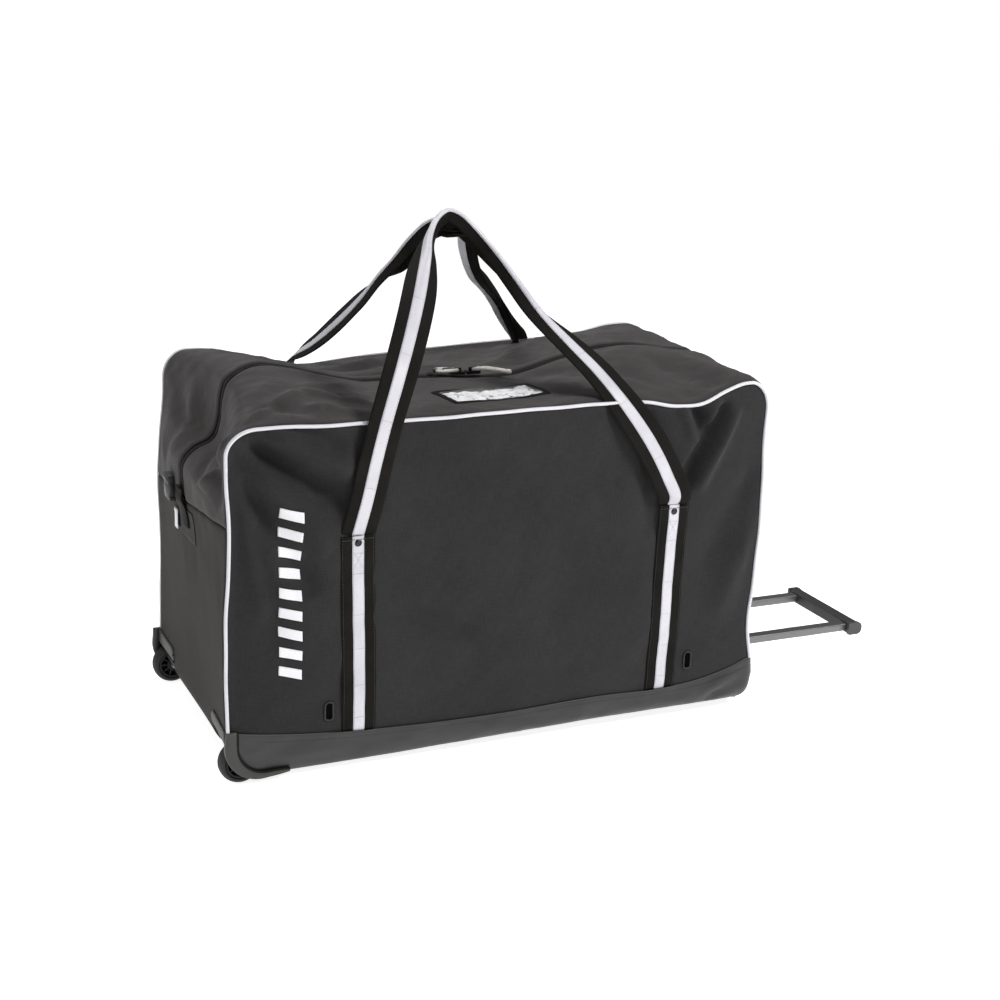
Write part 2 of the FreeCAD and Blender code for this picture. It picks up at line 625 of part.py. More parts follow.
def wheels():
    """A moulded housing, an axle pin, a bush, a hub and a tyre at each corner of the wheel end."""
    side = "body_width / 2"
    inner_cheek = "-wheel_y + wheel_width / 2 + 2"
    outer_cheek = "-wheel_y - wheel_width / 2 - 1.4"
    wall_in = (inner_cheek, f"{inner_cheek} + 3")
    wall_out = (f"-({side}) + cloth + seam_gap", outer_cheek)
    x = ("-body_length / 2 + cloth + seam_gap", "wheel_x + wheel_radius + 12")
    z = ("base_low + cloth + 0.4", "skirt_top - 2.4")
    block = box("housing_block", x, (wall_out[0], wall_in[1]), z)
    well_y = (wall_out[1], wall_in[0])
    arch_cut = cylinder("housing_arch", "y", ("wheel_x", "0", "wheel_radius"),
                        "wheel_radius + 1.6", *well_y)
    mouth = box("housing_mouth", ("-body_length / 2 - 5", "wheel_x"), well_y,
                ("0", "2 * wheel_radius + 1.6"))
    under = box("housing_under", ("-body_length / 2 - 5", "wheel_x + wheel_radius + 1.6"), well_y,
                ("0", "wheel_radius"))
    bore = cylinder("housing_bore", "y", ("wheel_x", "0", "wheel_radius"), "axle_radius + run_gap",
                    f"-({side}) - 5", "-wheel_y + 40")
    # the foot of the block follows the skirt's rounded corner
    round_x = "-body_length / 2 + wheel_end_round"
    round_z = "base_low + wheel_end_round"
    corner = box("corner_block", ("-body_length / 2 - 20", round_x), (f"-({side}) - 9", "-wheel_y + 40"),
                 ("base_low - 20", round_z))
    disc = cylinder("corner_disc", "y", (round_x, "0", round_z), "wheel_end_round - cloth - 0.4",
                    f"-({side}) - 9", "-wheel_y + 40")
    shaped = cut("housing_shell", block, arch_cut, mouth, under, cut("corner_waste", corner, disc))
    # flange on the end face, riveted above the wheel, joined over the top of the mouth
    flange = box("housing_flange", ("-body_length / 2 - 2", "-body_length / 2 - seam_gap"),
                 ("-wheel_y - 11", "-118"), ("skirt_top - 4.4", "skirt_top + 8"))
    lip = box("housing_lip", ("-body_length / 2 - 2", "-body_length / 2 + 4"),
              ("-wheel_y - 11", f"{inner_cheek} + 2"), ("skirt_top - 4.4", "skirt_top - 2.4"))
    whole = fuse("housing_all", shaped, flange, lip)
    front = keep("wheel_housing_front", cut("wheel_housing_front", whole, bore))
    keep("wheel_housing_rear", mirror("wheel_housing_rear", front))
    # the rim trims the lower corner of the side wall
    rim_y = (f"-({side}) - 1.7", f"-({side}) - seam_gap")
    band = cut("rim_band",
               cylinder("rim_outer", "y", (round_x, "0", round_z), "wheel_end_round", *rim_y),
               cylinder("rim_inner", "y", (round_x, "0", round_z), "wheel_end_round - 13",
                        f"{rim_y[0]} - 1", f"{rim_y[1]} + 1"),
               box("rim_right", (round_x, f"{round_x} + 60"), (f"{rim_y[0]} - 1", f"{rim_y[1]} + 1"),
                   ("0", "160")),
               box("rim_above", (f"{round_x} - 60", f"{round_x} + 1"),
                   (f"{rim_y[0]} - 1", f"{rim_y[1]} + 1"), (round_z, "160")))
    tongue = box("rim_tongue", (round_x, f"{round_x} + 46"), rim_y, ("base_low", "base_low + 6"))
    rim = fuse("corner_rim", band, tongue)
    keep("corner_rims", group("corner_rims", rim, mirror("corner_rim_rear", rim)))
    spin_parts("front", inner_cheek, outer_cheek)
    bolts = []
    for name, y in (("outer", "-169"), ("inner", "-141")):
        bolt = revolved(f"flange_rivet_{name}", "x", ("-body_length / 2 - 2.1", y, "skirt_top + 3"),
                        [("0", "0"), ("0", "fastener_radius + 1"), ("-0.8", "fastener_radius + 1"),
                         ("-1.9", "fastener_radius / 2"), ("-1.9", "0")])
        bolts += [bolt, mirror(f"flange_rivet_{name}_rear", bolt)]
    keep("housing_rivets", group("housing_rivets", *bolts))


def spin_parts(name, inner_cheek, outer_cheek):
    """Axle, bush, hub and tyre of the front wheel, and their twins at the rear."""
    centre = ("wheel_x", "-wheel_y", "wheel_radius")
    low = "wheel_width / 2"
    bush_r = "axle_radius + run_gap + bush_thick"
    rim_r = "wheel_radius - tyre_thick"
    axle = cylinder("axle", "y", centre, "axle_radius", "-body_width / 2 + cloth + 0.6",
                    f"{inner_cheek} + 5")
    bush = revolved("bush", "y", centre,
                    [(f"-({low})", "axle_radius + run_gap"), (low, "axle_radius + run_gap"),
                     (low, bush_r), (f"-({low})", bush_r)])
    hub = revolved("hub", "y", centre,
                   [(f"-({low})", f"{bush_r} + run_gap"), (low, f"{bush_r} + run_gap"),
                    (low, f"{bush_r} + 4"), (f"{low} - 6", f"{bush_r} + 5"),
                    (f"{low} - 6", f"{rim_r} - 4"), (f"{low} - 1.5", f"{rim_r} - 3"),
                    (f"{low} - 1.5", rim_r), (f"-({low}) + 1.5", rim_r),
                    (f"-({low}) + 1.5", f"{rim_r} - 3"), (f"-({low}) + 6", f"{rim_r} - 4"),
                    (f"-({low}) + 6", f"{bush_r} + 5"), (f"-({low})", f"{bush_r} + 4")])
    tread = f"{rim_r} + run_gap"
    tyre = revolved("tyre", "y", centre,
                    [(f"-({low}) + 1", tread), (f"{low} - 1", tread),
                     (f"{low} - 0.4", "wheel_radius - 3"), (f"{low} - 3", "wheel_radius"),
                     (f"-({low}) + 3", "wheel_radius"), (f"-({low}) + 0.4", "wheel_radius - 3")])
    for node, piece in (("axle", axle), ("wheel_bush", bush), ("wheel_hub", hub), ("tyre", tyre)):
        keep(f"{node}_front", piece)
        keep(f"{node}_rear", mirror(f"{node}_rear", piece))


# ---------------------------------------------------------------- telescopic handle

def tube(name, y_centre, x, wide, tall, wall):
    """A rectangular tube along X with rounded corners."""
    y = (f"{y_centre} - ({wide}) / 2", f"{y_centre} + ({wide}) / 2")
    z = (f"tube_z - ({tall}) / 2", f"tube_z + ({tall}) / 2")
    body = padded(name, "x", x[0], x[1], [rectangle(y, z)])
    rounded(body, f"{name}_corners", f"{wall} + 1", lambda b: flat(b.YLength) and flat(b.ZLength))
    hollowed(body, f"{name}_bore", wall, lambda b: flat(b.XLength))
    return body


def handle_frame():
    """Outer tubes on the base board, with their brackets, screws and the bezel at the bag's end."""
    wide = "inner_width + 2 * (slide_gap + outer_wall)"
    tall = "inner_height + 2 * (slide_gap + outer_wall)"
    outer = tube("outer_tube", "-tube_y", ("outer_start", "body_length / 2 - 0.5"), wide, tall,
                 "outer_wall")
    keep("outer_tubes", group("outer_tubes", outer, mirror("outer_tube_rear", outer)))
    # each bracket holds both tubes: a bridge on the board with a channel per tube
    foot = "base_low + cloth + 0.4 + board_thick + 0.2"
    brackets = []
    screws = []
    holes = []
    for name, x in (("inner", "outer_start + 40"), ("middle", "180"), ("end", "body_length / 2 - 40")):
        outline = [rectangle(("-tube_y - 26", "tube_y + 26"), (foot, "tube_z + 8"))]
        bridge = padded(f"bracket_{name}", "x", f"{x} - 14", f"{x} + 14", outline)
        channels = []
        for sign in ("-", ""):
            channels.append(rectangle(
                (f"{sign}tube_y - ({wide}) / 2 - 0.2", f"{sign}tube_y + ({wide}) / 2 + 0.2"),
                (f"tube_z - ({tall}) / 2 - 0.2", "tube_z + 12")))
        pocket(bridge, f"bracket_{name}_channels", "x", f"{x} - 20", f"{x} + 20", channels)
        pocket(bridge, f"bracket_{name}_waist", "x", f"{x} - 20", f"{x} + 20",
               [rectangle(("-tube_y + 26", "tube_y - 26"), (f"{foot} + 8", "tube_z + 12"))])
        brackets.append(bridge)
        for side, sign in (("front", "-"), ("rear", "")):
            spot = f"{sign}(tube_y - 36)"
            holes.append((x, spot, "fastener_radius + 0.1"))
            screws.append(revolved(f"screw_{name}_{side}", "z", (x, spot, f"{foot} + 8.2"),
                                   [("-11", "0"), ("2.4", "0"), ("2.4", "fastener_radius"),
                                    ("0.6", "fastener_radius + 1.6"), ("0", "fastener_radius + 1.6"),
                                    ("0", "fastener_radius"), ("-11", "fastener_radius")]))
        pocket(bridge, f"bracket_{name}_holes", "z", foot, "tube_z", circles=holes[-2:])
    pocket(nodes["base_board"], "board_holes", "z", "base_low", foot, circles=holes)
    keep("tube_brackets", group("tube_brackets", *brackets))
    keep("bracket_screws", group("bracket_screws", *screws))
    bezel = padded("handle_bezel", "x", "body_length / 2 + seam_gap", "body_length / 2 + 3.2",
                   [rectangle(("-tube_y - 20", "tube_y + 20"), ("tube_z - 14", "tube_z + 12"))])
    rounded(bezel, "bezel_corners", "8", lambda b: flat(b.YLength) and flat(b.ZLength))
    mouths = []
    for sign in ("-", ""):
        y = f"{sign}tube_y"
        mouths.append(rectangle(
            (f"{y} - inner_width / 2 - slide_gap", f"{y} + inner_width / 2 + slide_gap"),
            ("tube_z - inner_height / 2 - slide_gap", "tube_z + inner_height / 2 + slide_gap")))
    pocket(bezel, "bezel_mouths", "x", "body_length / 2 - 5", "body_length / 2 + 9", mouths)
    keep("handle_bezel", bezel)


def pull_handle():
    """The part that slides out: two inner tubes, the grip with its end caps and its button."""
    grip_low = "grip_end - grip_depth"
    inner = tube("inner_tube", "-tube_y", ("inner_start", f"{grip_low} + 6"), "inner_width",
                 "inner_height", "inner_wall")
    pocket(inner, "pin_hole", "z", "tube_z + 1", "tube_z + 12",
           circles=[("pin_x", "-tube_y", "pin_radius + run_gap")])
    keep("inner_tubes", group("inner_tubes", inner, mirror("inner_tube_rear", inner)))

    z = ("tube_z - grip_height / 2", "tube_z + grip_height / 2")
    edge = "grip_length / 2 - 6.2"
    grip = padded("grip", "y", f"-({edge})", edge,
                  [rectangle((grip_low, "grip_end"), z)])
    palm = size("grip_end") - 1
    back = size(grip_low) + 1
    rounded(grip, "grip_palm", "grip_height / 2 - 1", lambda b: b.YLength > 50 and b.XMin > palm)
    rounded(grip, "grip_back", "3", lambda b: b.YLength > 50 and b.XMax < back)
    sockets = []
    for sign in ("-", ""):
        sockets.append(rectangle(
            (f"{sign}tube_y - inner_width / 2 - 0.1", f"{sign}tube_y + inner_width / 2 + 0.1"),
            ("tube_z - inner_height / 2 - 0.1", "tube_z + inner_height / 2 + 0.1")))
    pocket(grip, "grip_sockets", "x", f"{grip_low} - 5", f"{grip_low} + 6.2", sockets)
    half = "button_length / 2 + 0.2"
    pocket(grip, "button_well", "x", f"{grip_low} + 4", "grip_end + 5",
           [rectangle((f"-({half})", half), ("tube_z - button_height / 2 - 0.2",
                                             "tube_z + button_height / 2 + 0.2"))])
    reach = "tube_y + 4"
    pocket(grip, "rod_channel", "x", f"{grip_low} + 4", f"{grip_low} + 15.4",
           [rectangle((f"-({reach})", reach), ("tube_z - 2.2", "tube_z + 2.2"))])
    keep("grip", grip)
    cap = padded("grip_cap", "y", "-grip_length / 2", f"-({edge}) - 0.2",
                 [rectangle((f"{grip_low} - 1", "grip_end + 0.6"),
                            ("tube_z - grip_height / 2 - 0.8", "tube_z + grip_height / 2 + 0.8"))])
    rounded(cap, "cap_palm", "grip_height / 2 - 1", lambda b: b.YLength > 3 and b.XMin > palm)
    rounded(cap, "cap_back", "3", lambda b: b.YLength > 3 and b.XMax < back)
    keep("grip_caps", group("grip_caps", cap, mirror("grip_cap_rear", cap)))
    # a guide in each tube's mouth end keeps it central in the outer tube
    stopper = cut("tube_guide",
                  box("guide_block", ("inner_start + 0.4", "inner_start + 9"),
                      ("-tube_y - inner_width / 2 + inner_wall + 0.5",
                       "-tube_y + inner_width / 2 - inner_wall - 0.5"),
                      ("tube_z - inner_height / 2 + inner_wall + 0.5",
                       "tube_z + inner_height / 2 - inner_wall - 0.5")),
                  cylinder("guide_hole", "x", ("0", "-tube_y", "tube_z"), "3", "inner_start - 1",
                           "inner_start + 12"))
    keep("tube_guides", group("tube_guides", stopper, mirror("tube_guide_rear", stopper)))
    release(grip_low)


def release(grip_low):
    """The push button and what it works: a cross bar, a rod in each tube and a pin at its end."""
    half = "button_length / 2"
    face = "grip_end + 1.6"
    button = padded("push_button", "x", "grip_end - 9", face,
                    [rectangle((f"-({half})", half), ("tube_z - button_height / 2",
                                                      "tube_z + button_height / 2"))])
    rounded(button, "button_corners", "button_height / 2 - 0.5",
            lambda b: flat(b.YLength) and flat(b.ZLength))
    keep("push_button", button)
    bar_x = (f"{grip_low} + 6.6 + button_travel", f"{grip_low} + 11 + button_travel")
    level = "tube_z + 3.2"
    arms = []
    wedge_x = "pin_x + 7"
    wedge_low = "tube_z - 1.15"
    for side, sign in (("front", "-"), ("rear", "")):
        y = (f"{sign}tube_y - 2", f"{sign}tube_y + 2")
        arms.append(padded(f"release_rod_{side}", "y", y[0], y[1],
                           [[(wedge_x, "tube_z + 1.25"), (f"{wedge_x} + 2.4 / ramp_slope", wedge_low),
                             (f"{wedge_x} + 7", wedge_low), (f"{wedge_x} + 7", "tube_z"),
                             (bar_x[1], "tube_z - 2"), (bar_x[1], "tube_z + 2"),
                             (f"{wedge_x} + 20", level), (wedge_x, level)]]))
    bar = box("release_bar", bar_x, ("-tube_y + 2", "tube_y - 2"), ("tube_z - 2", "tube_z + 2"))
    keep("release_rods", fuse("release_rods", bar, *arms))
    # a pin and its ramped foot in each tube
    foot = "tube_z - 2"
    pins = []
    for side, sign in (("front", "-"), ("rear", "")):
        y = (f"{sign}tube_y - 3", f"{sign}tube_y + 3")
        ramp = padded(f"pin_foot_{side}", "y", y[0], y[1],
                      [[("pin_x - 4", foot), ("pin_x + 10", foot), ("pin_x + 10", f"{foot} + 0.6"),
                        ("pin_x + 10 - 2.4 / ramp_slope", f"{foot} + 3"), ("pin_x - 4", f"{foot} + 3")]])
        stem = cylinder(f"pin_stem_{side}", "z", ("pin_x", f"{sign}tube_y", "0"), "pin_radius",
                        f"{foot} + 1", "tube_z + inner_height / 2 + 0.1")
        pins.append(fuse(f"lock_pin_{side}", ramp, stem))
    keep("lock_pins", group("lock_pins", *pins))


base_skirt()
base_board()
floor_board()
runners()
side_panel()
top_panels()
end_panels()
piping()
vents()
zipper()
identity_window()
anchor_straps()
carry_loops()
end_grip()
wheel_end_buckle()
wheels()
handle_frame()
pull_handle()
doc.recompute()

faults = []
for thing in doc.Objects:
    if "Invalid" in thing.State or "Error" in thing.State:
        faults.append(f"{thing.Name}: {thing.State}")
for node, thing in nodes.items():
    if thing.Shape.isNull() or not thing.Shape.isValid() or not thing.Shape.Solids:
        faults.append(f"{node}: bad shape")
if faults:
    raise RuntimeError("; ".join(faults))

os.makedirs("parts", exist_ok=True)
for node, thing in nodes.items():
    thing.Shape.exportStep(f"parts/{node}.step")
    extent = thing.Shape.BoundBox
    print(f"{node}: {len(thing.Shape.Solids)} solid(s), x {extent.XMin:.1f}..{extent.XMax:.1f}, "
          f"y {extent.YMin:.1f}..{extent.YMax:.1f}, z {extent.ZMin:.1f}..{extent.ZMax:.1f}")
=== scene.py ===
"""Looks of the wheeled hockey equipment bag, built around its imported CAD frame.

Shapes are worked out in millimetres in the frame's own axes (X from the wheel end to the handle
end, Y across, Z up) and turned into metres when a mesh is made.
"""

import math

import bpy
import numpy as np
from mathutils import Matrix, Vector


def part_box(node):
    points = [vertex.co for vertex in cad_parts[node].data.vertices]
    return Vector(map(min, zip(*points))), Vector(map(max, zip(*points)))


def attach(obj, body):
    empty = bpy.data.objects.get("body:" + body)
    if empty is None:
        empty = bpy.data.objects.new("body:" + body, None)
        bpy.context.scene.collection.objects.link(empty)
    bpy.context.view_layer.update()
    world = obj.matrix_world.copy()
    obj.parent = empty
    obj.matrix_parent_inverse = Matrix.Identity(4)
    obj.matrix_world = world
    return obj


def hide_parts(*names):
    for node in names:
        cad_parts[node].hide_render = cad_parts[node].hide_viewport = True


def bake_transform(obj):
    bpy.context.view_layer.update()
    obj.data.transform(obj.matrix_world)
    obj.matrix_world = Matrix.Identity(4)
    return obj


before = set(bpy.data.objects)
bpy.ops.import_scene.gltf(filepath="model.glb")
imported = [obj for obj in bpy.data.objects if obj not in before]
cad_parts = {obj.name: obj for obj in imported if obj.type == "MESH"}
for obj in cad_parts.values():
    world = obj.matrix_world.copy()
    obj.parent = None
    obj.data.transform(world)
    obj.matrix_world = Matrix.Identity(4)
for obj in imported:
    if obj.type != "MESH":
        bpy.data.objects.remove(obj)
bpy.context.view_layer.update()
MM = 0.001


# ---------------------------------------------------------------- sizes taken from the frame

def span(node):
    """Lowest and highest corner of a CAD node in millimetres."""
    low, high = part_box(node)
    return np.array(low) / MM, np.array(high) / MM


front_low = span("front_panel")[0]
gusset_low, gusset_high = span("top_panel_front")
end_low = span("wheel_end_panel")[0]
skirt_low, skirt_high = span("base_skirt")
anchor_high = span("anchor_webbing")[1]
loop_low = span("front_loop_webbing")[0]
tape_high = span("zipper_tape")[1]
window_low, window_high = span("id_frame")

HALF_LENGTH = -end_low[0] - 1.0
HALF_WIDTH = -front_low[1]
GUSSET_Y = HALF_WIDTH - 4.0
TOP_Z = gusset_high[2]
FLOOR_Z = skirt_low[2]
SKIRT_Z = skirt_high[2]
TAPE_Y = tape_high[1]
# radius of the soft corners over the top, and of the wheel end's lower corner
CORNER = 38.0
BASE_ROUND = 45.0
STRAP_WIDTH = 50.0
STRAP_X = anchor_high[0] - STRAP_WIDTH / 2
STRIPE_WIDTH = 17.0
LOOP_FOOT = loop_low[2]
# the loops' height over their feet, and how far out from the middle plane they stand there
LOOP_RISE = 395.0
STAND_OFF = 211.0
RIVET_Z = 341.0

# runs along the bag's outline, from the band at the wheel end over the top to the handle end
SIDE_RUN = TOP_Z - CORNER - SKIRT_Z
ARC_RUN = CORNER * math.pi / 2
TOP_RUN = 2 * (HALF_LENGTH - CORNER)
S_TOP = SIDE_RUN + ARC_RUN
S_DOWN = S_TOP + TOP_RUN
S_SIDE = S_DOWN + ARC_RUN
S_END = S_SIDE + SIDE_RUN
S_ROUND = FLOOR_Z + BASE_ROUND - SKIRT_Z
S_UNDER = S_ROUND - BASE_ROUND * math.pi / 2


# ---------------------------------------------------------------- small mathematics

def smooth(keys, at):
    """Smooth curve through rows (t, value, value, ...), read at the given places."""
    rows = np.asarray(keys, float)
    t, values = rows[:, 0], rows[:, 1:]
    slope = np.gradient(values, t, axis=0)
    at = np.clip(np.asarray(at, float), t[0], t[-1])
    k = np.clip(np.searchsorted(t, at, side="right") - 1, 0, len(t) - 2)
    h = t[k + 1] - t[k]
    f = ((at - t[k]) / h)[..., None]
    h = h[..., None]
    return (values[k] * (2 * f ** 3 - 3 * f ** 2 + 1) + slope[k] * h * (f ** 3 - 2 * f ** 2 + f)
            + values[k + 1] * (3 * f ** 2 - 2 * f ** 3) + slope[k + 1] * h * (f ** 3 - f ** 2))


def unit(v):
    return v / np.maximum(np.linalg.norm(v, axis=-1, keepdims=True), 1e-9)


def eased(share):
    """Smooth step of a share between 0 and 1."""
    return share * share * (3 - 2 * share)


def length_along(points):
    """Running length along a line of points."""
    return np.concatenate([[0], np.cumsum(np.linalg.norm(np.diff(points, axis=0), axis=1))])


def nearest(values, value):
    return int(np.argmin(np.abs(values - value)))


def ripple(a, b, scale, seed, octaves=3):
    """Repeatable soft noise between about -1 and 1, of a given feature size."""
    rng = np.random.default_rng(seed)
    total = np.zeros(np.broadcast(a, b).shape)
    for octave in range(octaves):
        k = 2 * math.pi / (scale / 1.9 ** octave)
        for _ in range(5):
            angle, phase = rng.uniform(0, 2 * math.pi, 2)
            wave = np.sin(k * (np.cos(angle) * a + np.sin(angle) * b) + phase)
            total = total + wave / 5 / 1.7 ** octave
    return total * 1.6


def crease(a, b, start, end, width, height):
    """A fold along a line: highest in its middle, soft to both sides, fading at its ends."""
    start, end = np.array(start, float), np.array(end, float)
    along = end - start
    length = np.linalg.norm(along)
    along = along / length
    u = ((a - start[0]) * along[0] + (b - start[1]) * along[1]) / length
    v = -(a - start[0]) * along[1] + (b - start[1]) * along[0]
    fade = np.clip(1 - (2 * u - 1) ** 4, 0, 1) * (u > 0) * (u < 1)
    spread = width * (0.75 + 0.5 * np.clip(u, 0, 1))
    return height * fade * np.exp(-(v / spread) ** 2)


def creases(total, a, b, table):
    """Adds a table of folds to a height: start, end, width, height; a valley's height is negative."""
    for a0, b0, a1, b1, width, height in table:
        total = total + crease(a, b, (a0, b0), (a1, b1), width, height)
    return total


# ---------------------------------------------------------------- meshes

# Two points at each carry loop's foot, where its webbing bends when the loop is swung over; only the
# loop names are read here.
LOOP_ROOTS = {
    body: [(0.0, side * (HALF_WIDTH + 5) * MM, (LOOP_FOOT + rise) * MM) for rise in (3, 62)]
    for body, side in (("front_loop", -1), ("rear_loop", 1))}


def piece(name, points, faces, material, uv=None, body="bag", slot=None, stands_for=()):
    """Makes one mesh from points in millimetres and hands it to a body."""
    mesh = bpy.data.meshes.new(name)
    mesh.from_pydata((np.asarray(points, float) * MM).tolist(), [], faces)
    mesh.validate()
    if uv is not None:
        layer = mesh.uv_layers.new(name="UVMap")
        picked = np.zeros(len(mesh.loops), int)
        mesh.loops.foreach_get("vertex_index", picked)
        layer.data.foreach_set("uv", (np.asarray(uv, float)[picked] * MM).ravel())
    mesh.polygons.foreach_set("use_smooth", [True] * len(mesh.polygons))
    thing = bpy.data.objects.new(name, mesh)
    bpy.context.scene.collection.objects.link(thing)
    mesh.materials.append(material)
    if body in LOOP_ROOTS:
        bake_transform(thing)
    else:
        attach(thing, body)
    if stands_for:
        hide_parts(*stands_for)
    return thing


def grid_faces(rows, cols, first=0, flip=False, wrap=False):
    faces = []
    for i in range(rows - 1):
        for j in range(cols if wrap else cols - 1):
            a = first + i * cols + j
            b = first + i * cols + (j + 1) % cols
            quad = (a, b, b + cols, a + cols)
            faces.append(quad[::-1] if flip else quad)
    return faces


def ring_faces(rows, cols):
    """Faces of a ring of closed sections, with no ends."""
    return [(i * cols + j, i * cols + (j + 1) % cols,
             (i + 1) % rows * cols + (j + 1) % cols, (i + 1) % rows * cols + j)
            for i in range(rows) for j in range(cols)]


def wrapped(section, run, across):
    """Points, faces and UV of a closed strip: sections along a run, capped at both ends."""
    rows, ring = section.shape[:2]
    faces = grid_faces(rows, ring, wrap=True)
    faces += [tuple(range(ring))[::-1], tuple((rows - 1) * ring + j for j in range(ring))]
    uv = np.stack(np.broadcast_arrays(run[:, None], across[None, :]), -1)
    return section.reshape(-1, 3), faces, uv.reshape(-1, 2)


def strip(outer, inner, run, w):
    """A closed strip between two faces, each with one line of points for every w across it."""
    section = np.concatenate([np.stack(outer, 1), np.stack(inner[::-1], 1)], 1)
    return wrapped(section, run, np.concatenate([w, w[::-1]]))


def slab(outer, inner, flip=False):
    """Points and faces of a closed slab between two grids of points."""
    rows, cols, _ = outer.shape
    count = rows * cols
    faces = grid_faces(rows, cols, 0, flip) + grid_faces(rows, cols, count, not flip)
    ring = ([(0, j) for j in range(cols)] + [(i, cols - 1) for i in range(1, rows)]
            + [(rows - 1, j) for j in range(cols - 2, -1, -1)]
            + [(i, 0) for i in range(rows - 2, 0, -1)])
    edge = [i * cols + j for i, j in ring]
    for here, there in zip(edge, edge[1:] + edge[:1]):
        quad = (here, here + count, there + count, there)
        faces.append(quad[::-1] if flip else quad)
    return np.concatenate([outer.reshape(-1, 3), inner.reshape(-1, 3)]), faces


def sheet(name, points, uv, material, thick=1.6, flip=False, **more):
    """Cloth sheet from a grid of points, with an inner side and closed edges."""
    normal = unit(np.cross(np.gradient(points, axis=1), np.gradient(points, axis=0)))
    inner = points - normal * thick * (-1 if flip else 1)
    all_points, faces = slab(points, inner, flip)
    all_uv = np.concatenate([uv.reshape(-1, 2)] * 2)
    return piece(name, all_points, faces, material, all_uv, **more)


def tube(centres, radii, sides=10, closed=False, up=(0, 0, 1)):
    """Points, faces and UV of a round tube along a line of centres."""
    centres = np.asarray(centres, float)
    radii = np.broadcast_to(np.asarray(radii, float), (len(centres),))
    if closed:
        tangent = unit(np.roll(centres, -1, 0) - np.roll(centres, 1, 0))
    else:
        tangent = unit(np.gradient(centres, axis=0))
    side = unit(np.cross(tangent, np.broadcast_to(np.array(up, float), tangent.shape)) + 1e-6)
    lift = np.cross(side, tangent)
    turn = np.linspace(0, 2 * math.pi, sides, endpoint=False)
    ring = (np.cos(turn)[None, :, None] * side[:, None] + np.sin(turn)[None, :, None] * lift[:, None])
    points = centres[:, None] + ring * radii[:, None, None]
    points, faces, uv = wrapped(points, length_along(centres), turn * radii.max())
    return points, ring_faces(len(centres), sides) if closed else faces, uv


def joined(parts):
    """Several (points, faces, uv) sets as one."""
    points, faces, uvs, first = [], [], [], 0
    for part_points, part_faces, part_uv in parts:
        points.append(np.asarray(part_points, float))
        faces += [tuple(first + i for i in face) for face in part_faces]
        uvs.append(np.asarray(part_uv, float))
        first += len(part_points)
    return np.concatenate(points), faces, np.concatenate(uvs)


def put(name, parts, material, slot, stands_for=(), body="bag"):
    """Makes one piece out of several (points, faces, uv) sets."""
    points, faces, uv = joined(parts)
    return piece(name, points, faces, material, uv, body, slot, stands_for)


def block(low, high, round_off=1.0, steps=3):
    """Points, faces and UV of a block with rounded edges."""
    low, high = np.array(low, float), np.array(high, float)
    centre, half = (low + high) / 2, (high - low) / 2
    round_off = min(round_off, half.min() * 0.98)
    turn = np.linspace(-math.pi / 2, math.pi / 2, 2 * steps)
    corners = np.linspace(0, 2 * math.pi, 4 * steps, endpoint=False) + math.pi / (4 * steps)
    points = []
    for a in turn:
        for b in corners:
            n = np.array([math.cos(a) * math.cos(b), math.cos(a) * math.sin(b), math.sin(a)])
            points.append(centre + np.sign(n) * (half - round_off) + n * round_off)
    points = np.array(points)
    faces = wrapped(points.reshape(len(turn), len(corners), 3), turn, corners)[1]
    return points, faces, points[:, :2] + points[:, 2:] * 0.7


def place(part, origin, x_axis, y_axis, z_axis):
    """Moves a (points, faces, uv) set built at the origin into a local frame."""
    points, faces, uv = part
    axes = np.array([x_axis, y_axis, z_axis], float)
    return points @ axes + np.asarray(origin, float), faces, uv


def turned(profile, centre, segments=48, axis=1):
    """A closed profile of (radius, height) pairs revolved about an axis through centre."""
    profile = np.asarray(profile, float)
    turn = np.linspace(0, 2 * math.pi, segments, endpoint=False)
    points = np.zeros((segments, len(profile), 3))
    others = [i for i in range(3) if i != axis]
    points[..., others[0]] = np.cos(turn)[:, None] * profile[None, :, 0]
    points[..., others[1]] = np.sin(turn)[:, None] * profile[None, :, 0]
    points[..., axis] = profile[None, :, 1]
    points += np.asarray(centre, float)
    faces = ring_faces(segments, len(profile))
    run = length_along(profile)
    uv = np.stack(np.broadcast_arrays((turn * profile[:, 0].max())[:, None], run[None, :]), -1)
    return points.reshape(-1, 3), faces, uv.reshape(-1, 2)


def stitches(points, normals, pitch=4.0, length=2.7, width=0.45, height=0.35):
    """A row of thread stitches along a line of points on a surface."""
    points, normals = np.asarray(points, float), np.asarray(normals, float)
    run = length_along(points)
    places = np.arange(pitch / 2, run[-1], pitch)
    if not len(places):
        places = np.array([run[-1] / 2])

    def read(where, values):
        return np.stack([np.interp(where, run, values[:, i]) for i in range(3)], -1)

    at = read(places, points)
    n = unit(read(places, normals))
    t = unit(read(places + 0.5, points) - read(places - 0.5, points))
    b = np.cross(n, t)
    shape = [(-.5, 0, -.4), (-.28, 1, .3), (-.28, -1, .3), (-.25, 0, 1), (.25, 0, 1),
             (.28, 1, .3), (.28, -1, .3), (.5, 0, -.4)]
    links = [(0, 3, 1), (0, 2, 3), (1, 3, 4, 5), (3, 2, 6, 4), (5, 4, 7), (4, 6, 7),
             (0, 1, 5, 7), (0, 7, 6, 2)]
    out, faces = [], []
    for k in range(len(at)):
        first = len(out)
        out += [at[k] + t[k] * x * length + b[k] * y * width + n[k] * z * height for x, y, z in shape]
        faces += [tuple(first + i for i in link) for link in links]
    out = np.array(out)
    return out, faces, out[:, :2] + out[:, 2:]


# ---------------------------------------------------------------- materials

